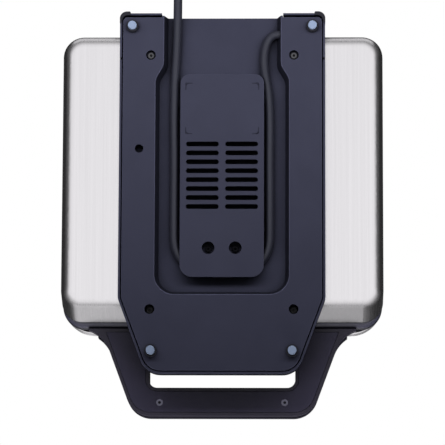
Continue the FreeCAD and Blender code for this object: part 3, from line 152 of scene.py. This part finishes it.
class Graph:
    """New finish: adds nodes to its material and links them."""

    def __init__(self, name):
        material = bpy.data.materials.new(name)
        material.use_nodes = True
        finishes[name] = material
        self.tree = material.node_tree
        self.shader = self.tree.nodes["Principled BSDF"]
        self.coordinates = self.add("ShaderNodeTexCoord").outputs["Object"]

    def add(self, kind, **settings):
        return add_node(self.tree, kind, **settings)

    def fill(self, socket, value):
        """Links a socket to another node's output, or sets it to a number or colour."""
        if isinstance(value, bpy.types.NodeSocket):
            self.tree.links.new(value, socket)
        else:
            socket.default_value = value

    def set(self, **values):
        """Fills sockets of the material's shader, with _ for a space in their names."""
        for key, value in values.items():
            self.fill(self.shader.inputs[key.replace("_", " ")], value)

    def result(self, operation, *values):
        node = self.add("ShaderNodeMath", operation=operation)
        for socket, value in zip(node.inputs, values):
            self.fill(socket, value)
        return node.outputs["Value"]

    def axes(self, vector):
        node = self.add("ShaderNodeSeparateXYZ")
        self.fill(node.inputs["Vector"], vector)
        return node.outputs

    def moved(self, setting, value):
        """Object coordinates with one setting of a mapping, such as its scale along each axis."""
        mapping = self.add("ShaderNodeMapping")
        mapping.inputs[setting].default_value = value
        self.fill(mapping.inputs["Vector"], self.coordinates)
        return mapping.outputs["Vector"]

    def noise(self, scale, detail=3.0, roughness=0.55, vector=None):
        node = self.add("ShaderNodeTexNoise")
        node.inputs["Scale"].default_value = scale
        node.inputs["Detail"].default_value = detail
        node.inputs["Roughness"].default_value = roughness
        self.fill(node.inputs["Vector"], vector or self.coordinates)
        return node.outputs["Fac"]

    def drawn(self, detail, scales):
        """Noise that is drawn out, by a scale of its own along each axis."""
        return self.noise(scale=1.0, detail=detail, roughness=0.6, vector=self.moved("Scale", scales))

    def cells(self, scale):
        node = self.add("ShaderNodeTexVoronoi")
        node.inputs["Scale"].default_value = scale
        self.fill(node.inputs["Vector"], self.coordinates)
        return node.outputs["Distance"]

    def threads(self, scale, slant):
        node = self.add("ShaderNodeTexWave")
        node.inputs["Scale"].default_value = scale
        self.fill(node.inputs["Vector"], self.moved("Rotation", (slant, slant, slant)))
        return node.outputs["Fac"]

    def rescaled(self, value, low, high, at_low=0.0, at_high=1.0):
        node = self.add("ShaderNodeMapRange")
        limits = (("From Min", low), ("From Max", high), ("To Min", at_low), ("To Max", at_high))
        for name, number in limits:
            node.inputs[name].default_value = number
        self.fill(node.inputs["Value"], value)
        return node.outputs["Result"]

    def span(self, texture, low, high):
        """Turns the middle of a 0 to 1 texture into low to high."""
        return self.rescaled(texture, NOISE_LOW, NOISE_HIGH, low, high)

    def uneven(self, texture, middle, spread):
        return self.span(texture, middle - spread, middle + spread)

    def mix(self, factor, low, high):
        """Mixes two colours or textures: low where the factor is 0, and high where it is 1."""
        node = self.add("ShaderNodeMix", data_type="RGBA")
        self.fill(node.inputs["Factor"], factor)
        self.fill(node.inputs["A"], low)
        self.fill(node.inputs["B"], high)
        return node.outputs["Result"]

    def shades(self, factor, color, low, high):
        """Mixes two shades of a colour."""
        return self.mix(factor, shade(color, low), shade(color, high))

    def blend(self, factor, low, high):
        """Mixes two numbers."""
        node = self.add("ShaderNodeMix", data_type="FLOAT")
        self.fill(node.inputs[0], factor)
        self.fill(node.inputs[2], low)
        self.fill(node.inputs[3], high)
        return node.outputs[0]

    def openness(self, distance, closed, opened):
        """0 in corners and narrow grooves, 1 on open surfaces."""
        node = self.add("ShaderNodeAmbientOcclusion", samples=CORNER_SAMPLES)
        node.inputs["Distance"].default_value = distance
        return self.rescaled(node.outputs["AO"], closed, opened)

    def facing(self, axis):
        """0 to 1, the more a surface faces along an axis, either way."""
        geometry = self.add("ShaderNodeNewGeometry")
        return self.result("ABSOLUTE", self.axes(geometry.outputs["Normal"])[axis])

    def levelness(self, low, high):
        """0 on upright walls, 1 on level faces."""
        return self.rescaled(self.facing("Z"), low, high)

    def soft_edges(self, radius):
        """Normal of a surface whose sharp edges are rounded by a radius."""
        node = self.add("ShaderNodeBevel", samples=EDGE_SAMPLES)
        node.inputs["Radius"].default_value = radius
        return node.outputs["Normal"]

    def leaned(self, normal, lean):
        """Normal that looks more up or down, the more it faces the front or rear."""
        axes = self.axes(normal)
        share = self.result("MULTIPLY_ADD", self.result("ABSOLUTE", axes["Y"]), lean, 1.0)
        joined = self.add("ShaderNodeCombineXYZ")
        self.fill(joined.inputs["X"], axes["X"])
        self.fill(joined.inputs["Y"], axes["Y"])
        self.fill(joined.inputs["Z"], self.result("MULTIPLY", axes["Z"], share))
        unit = self.add("ShaderNodeVectorMath", operation="NORMALIZE")
        self.fill(unit.inputs[0], joined.outputs["Vector"])
        return unit.outputs["Vector"]

    def bump(self, height, strength, depth, edge, lean=None):
        node = self.add("ShaderNodeBump")
        node.inputs["Strength"].default_value = strength
        node.inputs["Distance"].default_value = depth
        self.fill(node.inputs["Height"], height)
        normal = self.soft_edges(edge)
        self.fill(node.inputs["Normal"], self.leaned(normal, lean) if lean else normal)
        self.set(Normal=node.outputs["Normal"])


def moulded(name, color, roughness, grain=2600.0, strength=0.25, edge=0.35 * MM, coat=0.0, gloss=0.15,
            groove_shade_reach=None, closed=0.3, opened=0.85, walls=None, edge_highlight=None):
    """Moulded plastic or rubber: fine grain, cloudy colour, slightly uneven gloss, and where asked for,
    a painted highlight on tilted faces such as rounded edges, painted shade on upright walls and painted
    shade in grooves and corners."""
    graph = Graph(name)
    clouds = graph.noise(scale=38.0, detail=4.0)
    surface = graph.shades(clouds, color, 1 - COLOR_SPREAD, 1 + COLOR_SPREAD)
    # Painted highlight: faces tilted from level, such as rounded edges and chamfers, are lighter
    if edge_highlight:
        surface = graph.mix(graph.levelness(*EDGE_HIGHLIGHT_LEVELS), shade(color, edge_highlight), surface)
    # Painted shade: upright walls are darker
    if walls:
        surface = graph.mix(graph.levelness(*WALL_SHADE_LEVELS), shade(color, walls), surface)
    # Painted shade: grooves, corners and faces close under other parts are darker
    if groove_shade_reach:
        surface = graph.mix(graph.openness(groove_shade_reach, closed, opened), shade(color, PAINTED_GROOVE_SHADE), surface)
    rough = graph.uneven(graph.noise(scale=160.0), roughness, spread=0.05)
    graph.set(Base_Color=surface, Roughness=rough, Coat_Weight=coat, Coat_Roughness=0.12,
              Specular_IOR_Level=gloss)
    graph.bump(graph.noise(grain, detail=2.0), strength, GRAIN_DEPTH, edge)


def brushed(name, color, roughness, strength):
    """Brushed sheet: hairlines along Y on flat and side faces, and up the front and rear walls, with
    painted shade on the walls near a rim.
    """
    graph = Graph(name)
    along = graph.drawn(detail=2.0, scales=(LINE_ACROSS, LINE_ALONG, LINE_ACROSS))
    upward = graph.drawn(detail=2.0, scales=(LINE_ACROSS, LINE_ALONG, LINE_ALONG))
    wall = graph.facing("Y")
    lines = graph.blend(wall, along, upward)
    streaks = graph.drawn(detail=3.0, scales=(STREAK_ACROSS, STREAK_ALONG, STREAK_ACROSS))
    surface = graph.mix(graph.span(streaks, *STREAK_SHARES), shade(color, STREAK_SHADE),
                        graph.shades(lines, color, *LINE_SHADES))
    # Painted shade: walls near a rim or seam are darker
    free_of_rim_shade = graph.result("MAXIMUM", graph.levelness(*SHEET_LEVELS),
                           graph.openness(RIM_REACH, *RIM_OPENNESS))
    surface = graph.mix(free_of_rim_shade, shade(color, RIM_PAINTED_SHADE), surface)
    rough = graph.result("MULTIPLY_ADD", wall, WALL_ROUGHNESS, graph.uneven(lines, roughness, spread=0.05))
    graph.set(Base_Color=surface, Roughness=rough, Metallic=1.0)
    graph.bump(lines, strength, depth=0.012 * MM, edge=0.4 * MM, lean=WALL_LEAN)


def metal(name, color, roughness, pit_shade=None, ring_shade=None):
    """Plain metal with a faintly uneven surface, and where asked for, painted shade in its pits and rings.
    """
    graph = Graph(name)
    spots = graph.noise(SPOT_SCALE, detail=4.0)
    surface = graph.shades(spots, color, 1 - COLOR_SPREAD, 1 + COLOR_SPREAD)
    # Painted shade: deep pits and narrow rings are darker
    for reach, limits in ((pit_shade, PIT_OPENNESS), (ring_shade, RING_OPENNESS)):
        if reach:
            surface = graph.mix(graph.openness(reach, *limits), shade(color, HOLE_PAINTED_SHADE), surface)
    rough = graph.uneven(graph.noise(SPOT_SCALE / 3), roughness, spread=0.06)
    graph.set(Base_Color=surface, Roughness=rough, Metallic=1.0)
    graph.bump(spots, strength=0.2, depth=0.02 * MM, edge=0.2 * MM)


def coated(name, color):
    """Non-stick coating: dark, speckled and slightly glossy."""
    graph = Graph(name)
    surface = graph.shades(graph.cells(scale=900.0), color, low=1.9, high=0.8)
    rough = graph.span(graph.noise(scale=420.0), low=0.3, high=0.42)
    graph.set(Base_Color=surface, Roughness=rough, Coat_Weight=0.25, Coat_Roughness=0.2)
    graph.bump(graph.noise(scale=1500.0), strength=0.3, depth=0.05 * MM, edge=0.6 * MM)


def woven(name, color):
    """Woven sleeve: crossed slanting threads."""
    graph = Graph(name)
    threads = graph.result("MAXIMUM", graph.threads(THREAD_SCALE, THREAD_SLANT),
                           graph.threads(THREAD_SCALE, -THREAD_SLANT))
    surface = graph.shades(threads, color, low=0.6, high=1.05)
    graph.set(Base_Color=surface, Roughness=0.85, Sheen_Weight=0.2)
    graph.bump(threads, strength=0.6, depth=0.15 * MM, edge=0.1 * MM)


def clear(name, color):
    """Tinted clear plastic with a faint haze."""
    graph = Graph(name)
    haze = graph.noise(scale=220.0)
    graph.set(Base_Color=graph.shades(haze, color, low=0.8, high=1.2),
              Roughness=graph.span(haze, low=0.12, high=0.2),
              Transmission_Weight=0.55, IOR=1.49, Coat_Weight=0.6, Coat_Roughness=0.05)
    graph.bump(graph.cells(scale=1400.0), strength=0.25, depth=0.1 * MM, edge=0.3 * MM)


def tinted(name, cool, hot):
    """Heater sheath: steel whose tint drifts from cool to hot."""
    graph = Graph(name)
    rough = graph.span(graph.noise(scale=300.0), low=0.35, high=0.5)
    graph.set(Base_Color=graph.mix(graph.noise(scale=26.0), cool, hot), Roughness=rough, Metallic=0.9)
    graph.bump(graph.noise(scale=900.0), strength=0.3, depth=0.03 * MM, edge=0.2 * MM)


# Finishes, with colours as they look in even light, except three copies of the black plastic with painted
# light:
# painted highlight makes the base rim and the lower handle loop lighter, and painted shade makes the lid
# rim darker
# Body and wrap plate: painted shade on walls and in grooves, and a painted highlight on rounded edges
moulded("pod_plastic", rgb(54, 55, 70), 0.52, strength=0.3, gloss=0.05, groove_shade_reach=12 * MM, closed=0.38,
        opened=0.78, walls=0.3, edge_highlight=2.0)
moulded("wrap_plastic", rgb(55, 56, 71), 0.5, strength=0.3, gloss=0.05, groove_shade_reach=4 * MM, walls=0.3,
        edge_highlight=1.5)
moulded("mark_plastic", rgb(42, 43, 55), 0.5, strength=0.3, gloss=0.05)
moulded("black_plastic", rgb(48, 46, 60), 0.36, strength=0.18)
# Base rim: a lighter copy of the black plastic as a painted highlight, with painted shade on its walls and
# near the shell
moulded("rim_plastic", rgb(80, 79, 97), 0.34, strength=0.15, gloss=0.5, groove_shade_reach=6 * MM, closed=0.6,
        opened=0.95, walls=0.3)
# Lower handle loop: a lighter copy of the black plastic as painted light, with painted shade on the arms
# near the body
moulded("loop_plastic", rgb(63, 60, 74), 0.36, strength=0.18, groove_shade_reach=60 * MM, closed=0.6, opened=1.0)
# Lid rim: a darker copy of the black plastic as painted shade
moulded("lid_rim_plastic", rgb(30, 29, 36), 0.4, strength=0.15, gloss=0.1)
# Handle: painted shade on the parts near the body
moulded("handle_plastic", rgb(67, 64, 84), 0.42, groove_shade_reach=60 * MM, closed=0.6, opened=1.0)
moulded("cap_plastic", rgb(48, 46, 60), 0.22, strength=0.08, coat=0.5)
moulded("foot_black", rgb(34, 34, 40), 0.6, grain=1800.0, strength=0.35)
moulded("foot_rubber", rgb(131, 145, 171), 0.62, grain=1500.0, strength=0.3)
moulded("terminal_plastic", rgb(214, 208, 192), 0.45)
# Cord: painted shade where it lies close to walls
moulded("cord_rubber", rgb(41, 42, 52), 0.42, grain=1900.0, strength=0.15, edge=0.1 * MM, gloss=0.3,
        groove_shade_reach=8 * MM)
moulded("plug_plastic", rgb(58, 59, 70), 0.48, grain=1700.0, strength=0.3)
brushed("stainless", rgb(213, 211, 214), 0.2, strength=0.12)
brushed("reflector_steel", rgb(206, 208, 212), 0.2, strength=0.2)
metal("bracket_steel", rgb(160, 162, 165), 0.42)
metal("hinge_steel", rgb(190, 190, 192), 0.25)
metal("screw_steel", rgb(176, 177, 180), 0.3)
# Screws: painted shade in their rings and pits
metal("screw_black", rgb(88, 87, 100), 0.45, ring_shade=2.5 * MM)
metal("recess_black", rgb(12, 12, 16), 0.6)
metal("wrap_screw", rgb(40, 40, 46), 0.5, ring_shade=6 * MM)
metal("screw_dark", rgb(96, 96, 100), 0.42, pit_shade=12 * MM, ring_shade=3 * MM)
metal("thermostat_metal", rgb(196, 196, 198), 0.3)
metal("pin_brass", rgb(214, 212, 206), 0.16)
coated("coated_plate", rgb(44, 44, 46))
tinted("heater_sheath", rgb(112, 106, 104), rgb(134, 104, 78))
woven("fuse_glass_cloth", rgb(222, 218, 206))
woven("wire_sleeve", rgb(206, 200, 190))
clear("red_lens", rgb(196, 26, 18))
clear("green_lens", rgb(30, 150, 48))
clear("lamp_glass", rgb(240, 214, 160))

# Finishes that the record doesn't have: the nodes that wear them, and the record's slot for each
OWN_FINISHES = {"base_rim": "rim_plastic", "lid_rim": "lid_rim_plastic", "lower_handle": "loop_plastic",
                "wrap_plate_screws": "wrap_screw"}

for part in frame["record"]["subparts"]:
    for slot in nodes[part["node"]].material_slots:
        slot.link = "OBJECT"
        slot.material = finishes[OWN_FINISHES.get(part["node"], part["material_slot"])]


def piece(name, data, finish, body):
    """New piece of the object: named, finished and riding on its body."""
    made = bpy.data.objects.new(name, data)
    bpy.context.scene.collection.objects.link(made)
    data.materials.append(finishes[finish])
    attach(made, body)
    return made


def closed_mesh(name, shape):
    """Mesh with a shape's content, which is freed."""
    mesh = bpy.data.meshes.new(name)
    shape.to_mesh(mesh)
    shape.free()
    return mesh


# Screw recesses: four lobes in each round socket leave a cross between them. Every socket opens downwards
SOCKET_RADIUS = 1.08 * MM
SOCKET_DEPTH = 0.58 * MM
SOCKET_SINK = 0.3 * MM
CROSS_HALF_WIDTH = 0.42 * MM
CROSS_TURN = math.pi / 5
LOBE_STEPS = 6
LOBE_EDGE = 0.08 * MM
COVER_SCREWS_MM = ((57.7, 126.55, 9.9), (-57.7, 126.55, 9.9), (57.5, -80.1, 14.9), (-57.5, -80.1, 14.9))
WRAP_SCREWS_MM = ((10.85, -30.8, 13.2), (-10.85, -30.8, 13.2))
LOWER_HANDLE_SCREWS_MM = ((50.4, -151.3, 43.4), (-50.4, -151.3, 43.4))
UPPER_HANDLE_SCREWS_MM = ((50.4, -151.3, 54.8), (-50.4, -151.3, 54.8))


def add_lobe(shape, place, turn):
    """Quarter of a socket's filling, with its corner at the middle of the cross."""
    low, high = [], []
    start = math.asin(CROSS_HALF_WIDTH / SOCKET_RADIUS)
    angles = [start + (math.pi / 2 - 2 * start) * step / LOBE_STEPS for step in range(LOBE_STEPS + 1)]
    outline = [Vector((CROSS_HALF_WIDTH, CROSS_HALF_WIDTH))]
    outline += [Vector((math.cos(angle), math.sin(angle))) * SOCKET_RADIUS for angle in angles]
    spin = Matrix.Rotation(turn, 2)
    face = place[2] * MM + SOCKET_SINK
    for point in outline:
        across, along = spin @ point
        x, y = place[0] * MM + across, place[1] * MM + along
        low.append(shape.verts.new((x, y, face)))
        high.append(shape.verts.new((x, y, face + SOCKET_DEPTH)))
    shape.faces.new(list(reversed(low)))
    shape.faces.new(high)
    for i in range(len(low)):
        j = (i + 1) % len(low)
        shape.faces.new((low[i], low[j], high[j], high[i]))


def make_crosses(name, places, finish, body):
    shape = bmesh.new()
    for place in places:
        for quarter in range(4):
            add_lobe(shape, place, quarter * math.pi / 2 + CROSS_TURN)
    rims = [edge for edge in shape.edges if len(edge.link_faces) == 2]
    bmesh.ops.bevel(shape, geom=rims, offset=LOBE_EDGE, segments=1, affect="EDGES")
    piece(name, closed_mesh(name, shape), finish, body)


# Corner marks: plain raised brackets on the wrap plate, around a bare area. Their runs are the distances
# from the plate's rear edge, and the way that each bracket opens. Their profile is each line's offset from
# the middle line and its height over the plate's face, which looks down
MARK_X = 29.3 * MM
MARK_RUNS = ((7.5 * MM, 1), (48.8 * MM, -1))
MARK_ROUND = 3.0 * MM
MARK_ARM = 2.2 * MM
MARK_WIDTH = 0.5 * MM
MARK_STAND = 0.18 * MM
MARK_ROOT = 0.2 * MM
MARK_STEPS = 8
MARK_PROFILE = ((MARK_WIDTH, MARK_ROOT), (MARK_WIDTH / 2, -MARK_STAND), (-MARK_WIDTH / 2, -MARK_STAND),
                (-MARK_WIDTH, MARK_ROOT))


def mark_path(offset):
    """Line of a bracket beside its middle line, for a corner in +X and +Y."""
    radius = MARK_ROUND + offset
    points = [(-MARK_ROUND - MARK_ARM, offset)]
    for step in range(MARK_STEPS + 1):
        angle = math.pi / 2 * (1 - step / MARK_STEPS)
        points.append((math.cos(angle) * radius - MARK_ROUND, math.sin(angle) * radius - MARK_ROUND))
    points.append((offset, -MARK_ROUND - MARK_ARM))
    return [Vector(point) for point in points]


def add_mark(shape, side, way, middle, face):
    """Bracket on one side, with its corner at a distance along Y and its back in the plate's face."""
    rows = []
    for offset, level in MARK_PROFILE:
        places = [(side * (MARK_X + point.x), middle + way * point.y, face + level)
                  for point in mark_path(offset)]
        rows.append([shape.verts.new(place) for place in places])
    for row, following in zip(rows, rows[1:] + rows[:1]):
        for i in range(len(row) - 1):
            shape.faces.new((row[i], row[i + 1], following[i + 1], following[i]))
    for end in (0, -1):
        shape.faces.new([row[end] for row in rows])


def make_marks():
    low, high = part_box("cord_wrap_plate")
    face, rear = low[2], high[1]
    shape = bmesh.new()
    for side in (-1, 1):
        for run, way in MARK_RUNS:
            add_mark(shape, side, way, rear - run, face)
    bmesh.ops.recalc_face_normals(shape, faces=shape.faces)
    piece("wrap_plate_marks", closed_mesh("wrap_plate_marks", shape), "mark_plastic", "base")


# Cord: its route is that of the CAD solid, listed point by point, and its coil's turns are worked out
CORD_RADIUS = 3.5 * MM
CORD_FLOOR = 3.6 * MM
CORD_SECTION_STEPS = 6
CORD_LENGTH_STEPS = 10
CORD_ORDER = 3
CORD_ROUTE_MM = [
    (-47.2, 144.65, 13.9),
    (-42.2, 144.65, 13.9),
    (-37.1, 140.8, 13.9),
    (-34.2, 133.1, 13.9),
    (-33.3, 122.0, 13.9),
    (-34.7, 109.5, 13.9),
    (-37.4, 96.5, 13.9),
    (-38.4, 72.5, 13.9),
    (-38.1, 38.5, 13.9),
    (-38.4, 8.5, 13.9),
    (-38.2, -50.7, 13.9),
    (38.2, -50.7, 13.9),
    (38.4, 8.5, 13.9),
    (38.2, 40.5, 13.9),
    (38.9, 74.5, 13.9),
    (38.5, 104.5, 13.9),
    (37.2, 128.5, 13.9),
    (36.5, 148.5, 13.2),
    (36.1, 168.5, 8.6),
    (36.0, 190.5, 3.6),
    (36.0, 221.0, 3.6),
]
COIL_CENTER = Vector((-4.0 * MM, 229.0 * MM, 0.0))
COIL_TURNS = 2.25
COIL_RADIUS = 40.0 * MM
COIL_PITCH = 7.6 * MM
COIL_LAYER = 8.2 * MM
COIL_POINTS = 36
COIL_RISE = 36.0 * MM
COIL_BEND = 9.3 * MM
PLUG_LEVEL = 18.4 * MM
PLUG_LEAD = 8.0 * MM
PLUG_SEAT = 2.0 * MM


def coil_place(angle):
    """Point of the coil: inwards on the floor, then up a layer and outwards."""
    last = COIL_TURNS * math.tau
    inward = min(angle, last - angle)
    radius = COIL_RADIUS - COIL_PITCH * inward / math.tau
    share = min(1.0, max(0.0, (angle - last / 2) / math.pi + 0.5))
    climb = share * share * (3 - 2 * share)
    level = CORD_FLOOR + COIL_LAYER * climb
    return COIL_CENTER + Vector((radius * math.cos(angle), radius * math.sin(angle), level))


def cord_points():
    points = [Vector(place) * MM for place in CORD_ROUTE_MM]
    for step in range(COIL_POINTS + 1):
        points.append(coil_place(COIL_TURNS * math.tau * step / COIL_POINTS))
    last = points[-1]
    end = Vector((last.x - COIL_RISE, last.y, PLUG_LEVEL))
    points.append(last - Vector((COIL_BEND, 0, 0)))
    points.append(end + Vector((COIL_BEND, 0, 0)))
    points.append(end - Vector((PLUG_LEAD / 2, 0, 0)))
    points.append(end - Vector((PLUG_LEAD + PLUG_SEAT, 0, 0)))
    return points


def make_cord():
    curve = bpy.data.curves.new("mains_cord", "CURVE")
    curve.dimensions = "3D"
    curve.bevel_depth = CORD_RADIUS
    curve.bevel_resolution = CORD_SECTION_STEPS
    curve.resolution_u = CORD_LENGTH_STEPS
    curve.use_fill_caps = True
    places = cord_points()
    spline = curve.splines.new("NURBS")
    spline.points.add(len(places) - 1)
    for point, place in zip(spline.points, places):
        point.co = (*place, 1.0)
    spline.order_u = CORD_ORDER
    spline.use_endpoint_u = True
    cord = piece("mains_cord", curve, "cord_rubber", "base")
    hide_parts("cord_run", "cord_coil")


def make_floor():
    """Matt sheet on the stage, which is clear from below so that it never hides the underside."""
    material = bpy.data.materials.new("floor")
    material.use_nodes = True
    tree = material.node_tree
    shader = tree.nodes["Principled BSDF"]
    shader.inputs["Base Color"].default_value = rgb(244, 244, 242)
    shader.inputs["Roughness"].default_value = FLOOR_ROUGHNESS
    geometry = add_node(tree, "ShaderNodeNewGeometry")
    clear_back = add_node(tree, "ShaderNodeBsdfTransparent")
    mix = add_node(tree, "ShaderNodeMixShader")
    tree.links.new(geometry.outputs["Backfacing"], mix.inputs["Fac"])
    tree.links.new(shader.outputs["BSDF"], mix.inputs[1])
    tree.links.new(clear_back.outputs["BSDF"], mix.inputs[2])
    tree.links.new(mix.outputs["Shader"], tree.nodes["Material Output"].inputs["Surface"])

    shape = bmesh.new()
    bmesh.ops.create_grid(shape, x_segments=1, y_segments=1, size=FLOOR_HALF_SIZE)
    floor = bpy.data.objects.new("floor", closed_mesh("floor", shape))
    floor.data.materials.append(material)
    floor.location.z = -FLOOR_DROP
    bpy.context.scene.collection.objects.link(floor)
    floor.visible_shadow = False
    floor.visible_diffuse = False
    floor.visible_glossy = False


def make_sky(tree, height, levels):
    """World light whose strength follows the height of its direction."""
    ramp = add_node(tree, "ShaderNodeValToRGB")
    ramp.color_ramp.interpolation = "EASE"
    stops = ramp.color_ramp.elements
    while len(stops) < len(levels):
        stops.new(1.0)
    for stop, (place, strength) in zip(stops, levels):
        stop.position = (place + 1) / 2
        share = strength / WORLD_PEAK
        stop.color = (share, share, share, 1.0)
    light = add_node(tree, "ShaderNodeBackground")
    light.inputs["Strength"].default_value = WORLD_PEAK
    tree.links.new(height, ramp.inputs["Fac"])
    tree.links.new(ramp.outputs["Color"], light.inputs["Color"])
    return light.outputs["Background"]


def make_world():
    """White backdrop for the camera, with one sky for gloss and another for matt surfaces."""
    world = bpy.data.worlds.new("studio")
    bpy.context.scene.world = world
    world.use_nodes = True
    tree = world.node_tree
    tree.nodes.clear()
    coordinates = add_node(tree, "ShaderNodeTexCoord")
    axes = add_node(tree, "ShaderNodeSeparateXYZ")
    height = add_node(tree, "ShaderNodeMapRange")
    height.inputs["From Min"].default_value = -1.0
    height.inputs["From Max"].default_value = 1.0
    backdrop = add_node(tree, "ShaderNodeBackground")
    backdrop.inputs["Color"].default_value = (1, 1, 1, 1)
    backdrop.inputs["Strength"].default_value = BACKDROP
    path = add_node(tree, "ShaderNodeLightPath")
    by_gloss = add_node(tree, "ShaderNodeMixShader")
    by_camera = add_node(tree, "ShaderNodeMixShader")
    output = add_node(tree, "ShaderNodeOutputWorld")
    fill_sky = make_sky(tree, height.outputs["Result"], FILL_LEVELS)
    gloss_sky = make_sky(tree, height.outputs["Result"], GLOSS_LEVELS)
    for start, end in (
            (coordinates.outputs["Generated"], axes.inputs["Vector"]),
            (axes.outputs["Z"], height.inputs["Value"]),
            (path.outputs["Is Glossy Ray"], by_gloss.inputs["Fac"]),
            (fill_sky, by_gloss.inputs[1]),
            (gloss_sky, by_gloss.inputs[2]),
            (path.outputs["Is Camera Ray"], by_camera.inputs["Fac"]),
            (by_gloss.outputs["Shader"], by_camera.inputs[1]),
            (backdrop.outputs["Background"], by_camera.inputs[2]),
            (by_camera.outputs["Shader"], output.inputs["Surface"])):
        tree.links.new(start, end)


def place_rows(right, up, back, place):
    """Matrix of an object from its own axes and its place."""
    rows = [(right[i], up[i], back[i], place[i]) for i in range(3)]
    return Matrix([*rows, (0, 0, 0, 1)])


def make_light(name, place, target, size, power, in_gloss=True, in_fill=True, only=None):
    """Softbox whose width lies along X, or along Y where it faces X, and which can light a single node."""
    data = bpy.data.lights.new(name, "AREA")
    data.shape = "RECTANGLE"
    data.size, data.size_y = size
    data.energy = power
    light = bpy.data.objects.new(name, data)
    back = (Vector(place) - Vector(target)).normalized()
    level = Vector((1, 0, 0)) if abs(back.x) < SIDEWAYS else Vector((0, 1, 0))
    right = (level - back * back.dot(level)).normalized()
    light.matrix_world = place_rows(right, back.cross(right), back, place)
    light.visible_camera = False
    light.visible_glossy = in_gloss
    light.visible_diffuse = in_fill
    bpy.context.scene.collection.objects.link(light)
    if only:
        lit = bpy.data.collections.get(only + "_light") or bpy.data.collections.new(only + "_light")
        if nodes[only].name not in lit.objects:
            lit.objects.link(nodes[only])
        light.light_linking.receiver_collection = lit


def make_lid_lights():
    """Soft room around the steel lid, which the photograph doesn't show, without light on the underside."""
    for name, x, y in (("left", -1, 0), ("right", 1, 0), ("front", 0, -1), ("rear", 0, 1)):
        place = (x * LID_LIGHT_REACH, y * LID_LIGHT_REACH, LID_WALL_HEIGHT)
        make_light("lid_wall_" + name, place, (0, 0, LID_WALL_HEIGHT), LID_WALL_SIZE, LID_WALL_POWER,
                   only="lid_shell")
    make_light("lid_ceiling", (0, 0, LID_LIGHT_REACH), (0, 0, 0), LID_CEILING_SIZE, LID_CEILING_POWER,
               only="lid_shell")


def make_camera():
    data = bpy.data.cameras.new("camera")
    data.lens = VIEW_LENS
    data.sensor_width = VIEW_SENSOR
    data.clip_start = VIEW_NEAR
    data.clip_end = VIEW_FAR
    camera = bpy.data.objects.new("camera", data)
    ahead = Vector((math.sin(VIEW_SIDE), math.sin(VIEW_TILT), math.cos(VIEW_TILT))).normalized()
    right = ahead.cross(Vector((0, math.cos(VIEW_TILT), -math.sin(VIEW_TILT)))).normalized()
    up = right.cross(ahead)
    rolled_right = right * math.cos(VIEW_ROLL) + up * math.sin(VIEW_ROLL)
    rolled_up = up * math.cos(VIEW_ROLL) - right * math.sin(VIEW_ROLL)
    place = VIEW_TARGET - ahead * VIEW_DISTANCE
    camera.matrix_world = place_rows(rolled_right, rolled_up, -ahead, place)
    bpy.context.scene.collection.objects.link(camera)
    bpy.context.scene.camera = camera


make_crosses("cover_screw_crosses", COVER_SCREWS_MM, "screw_dark", "base")
make_crosses("wrap_screw_crosses", WRAP_SCREWS_MM, "wrap_screw", "base")
make_crosses("lower_handle_screw_crosses", LOWER_HANDLE_SCREWS_MM, "recess_black", "base")
make_crosses("upper_handle_screw_crosses", UPPER_HANDLE_SCREWS_MM, "recess_black", "lid")
make_marks()
make_cord()

make_floor()
make_world()
make_light("key_strip", (0, 0.18, -0.36), (0, 0.2, 0), size=(1.4, 0.14), power=4.6, in_gloss=False)
make_light("rear_strip", (0, 1.8, -0.5), (0, 0, 0), size=(2.4, 1.0), power=5.8)
make_light("front_strip", (0, -2.0, 1.1), (0, 0, 0.03), size=(2.0, 0.8), power=7.5)
make_light("front_panel", (0.45, -2.15, -0.42), (0, 0, 0), size=(1.4, 2.1), power=6.4, in_fill=False)
make_light("front_fill", (0, -1.5, -0.15), (0, 0, 0.04), size=(1.6, 0.3), power=14.0, in_gloss=False)
make_light("top_softbox", (-0.6, 0.6, 2.0), (0, 0, 0), size=(1.4, 1.4), power=20.0, in_gloss=False)
make_lid_lights()
make_camera()
bpy.context.scene.view_settings.view_transform = "Standard"
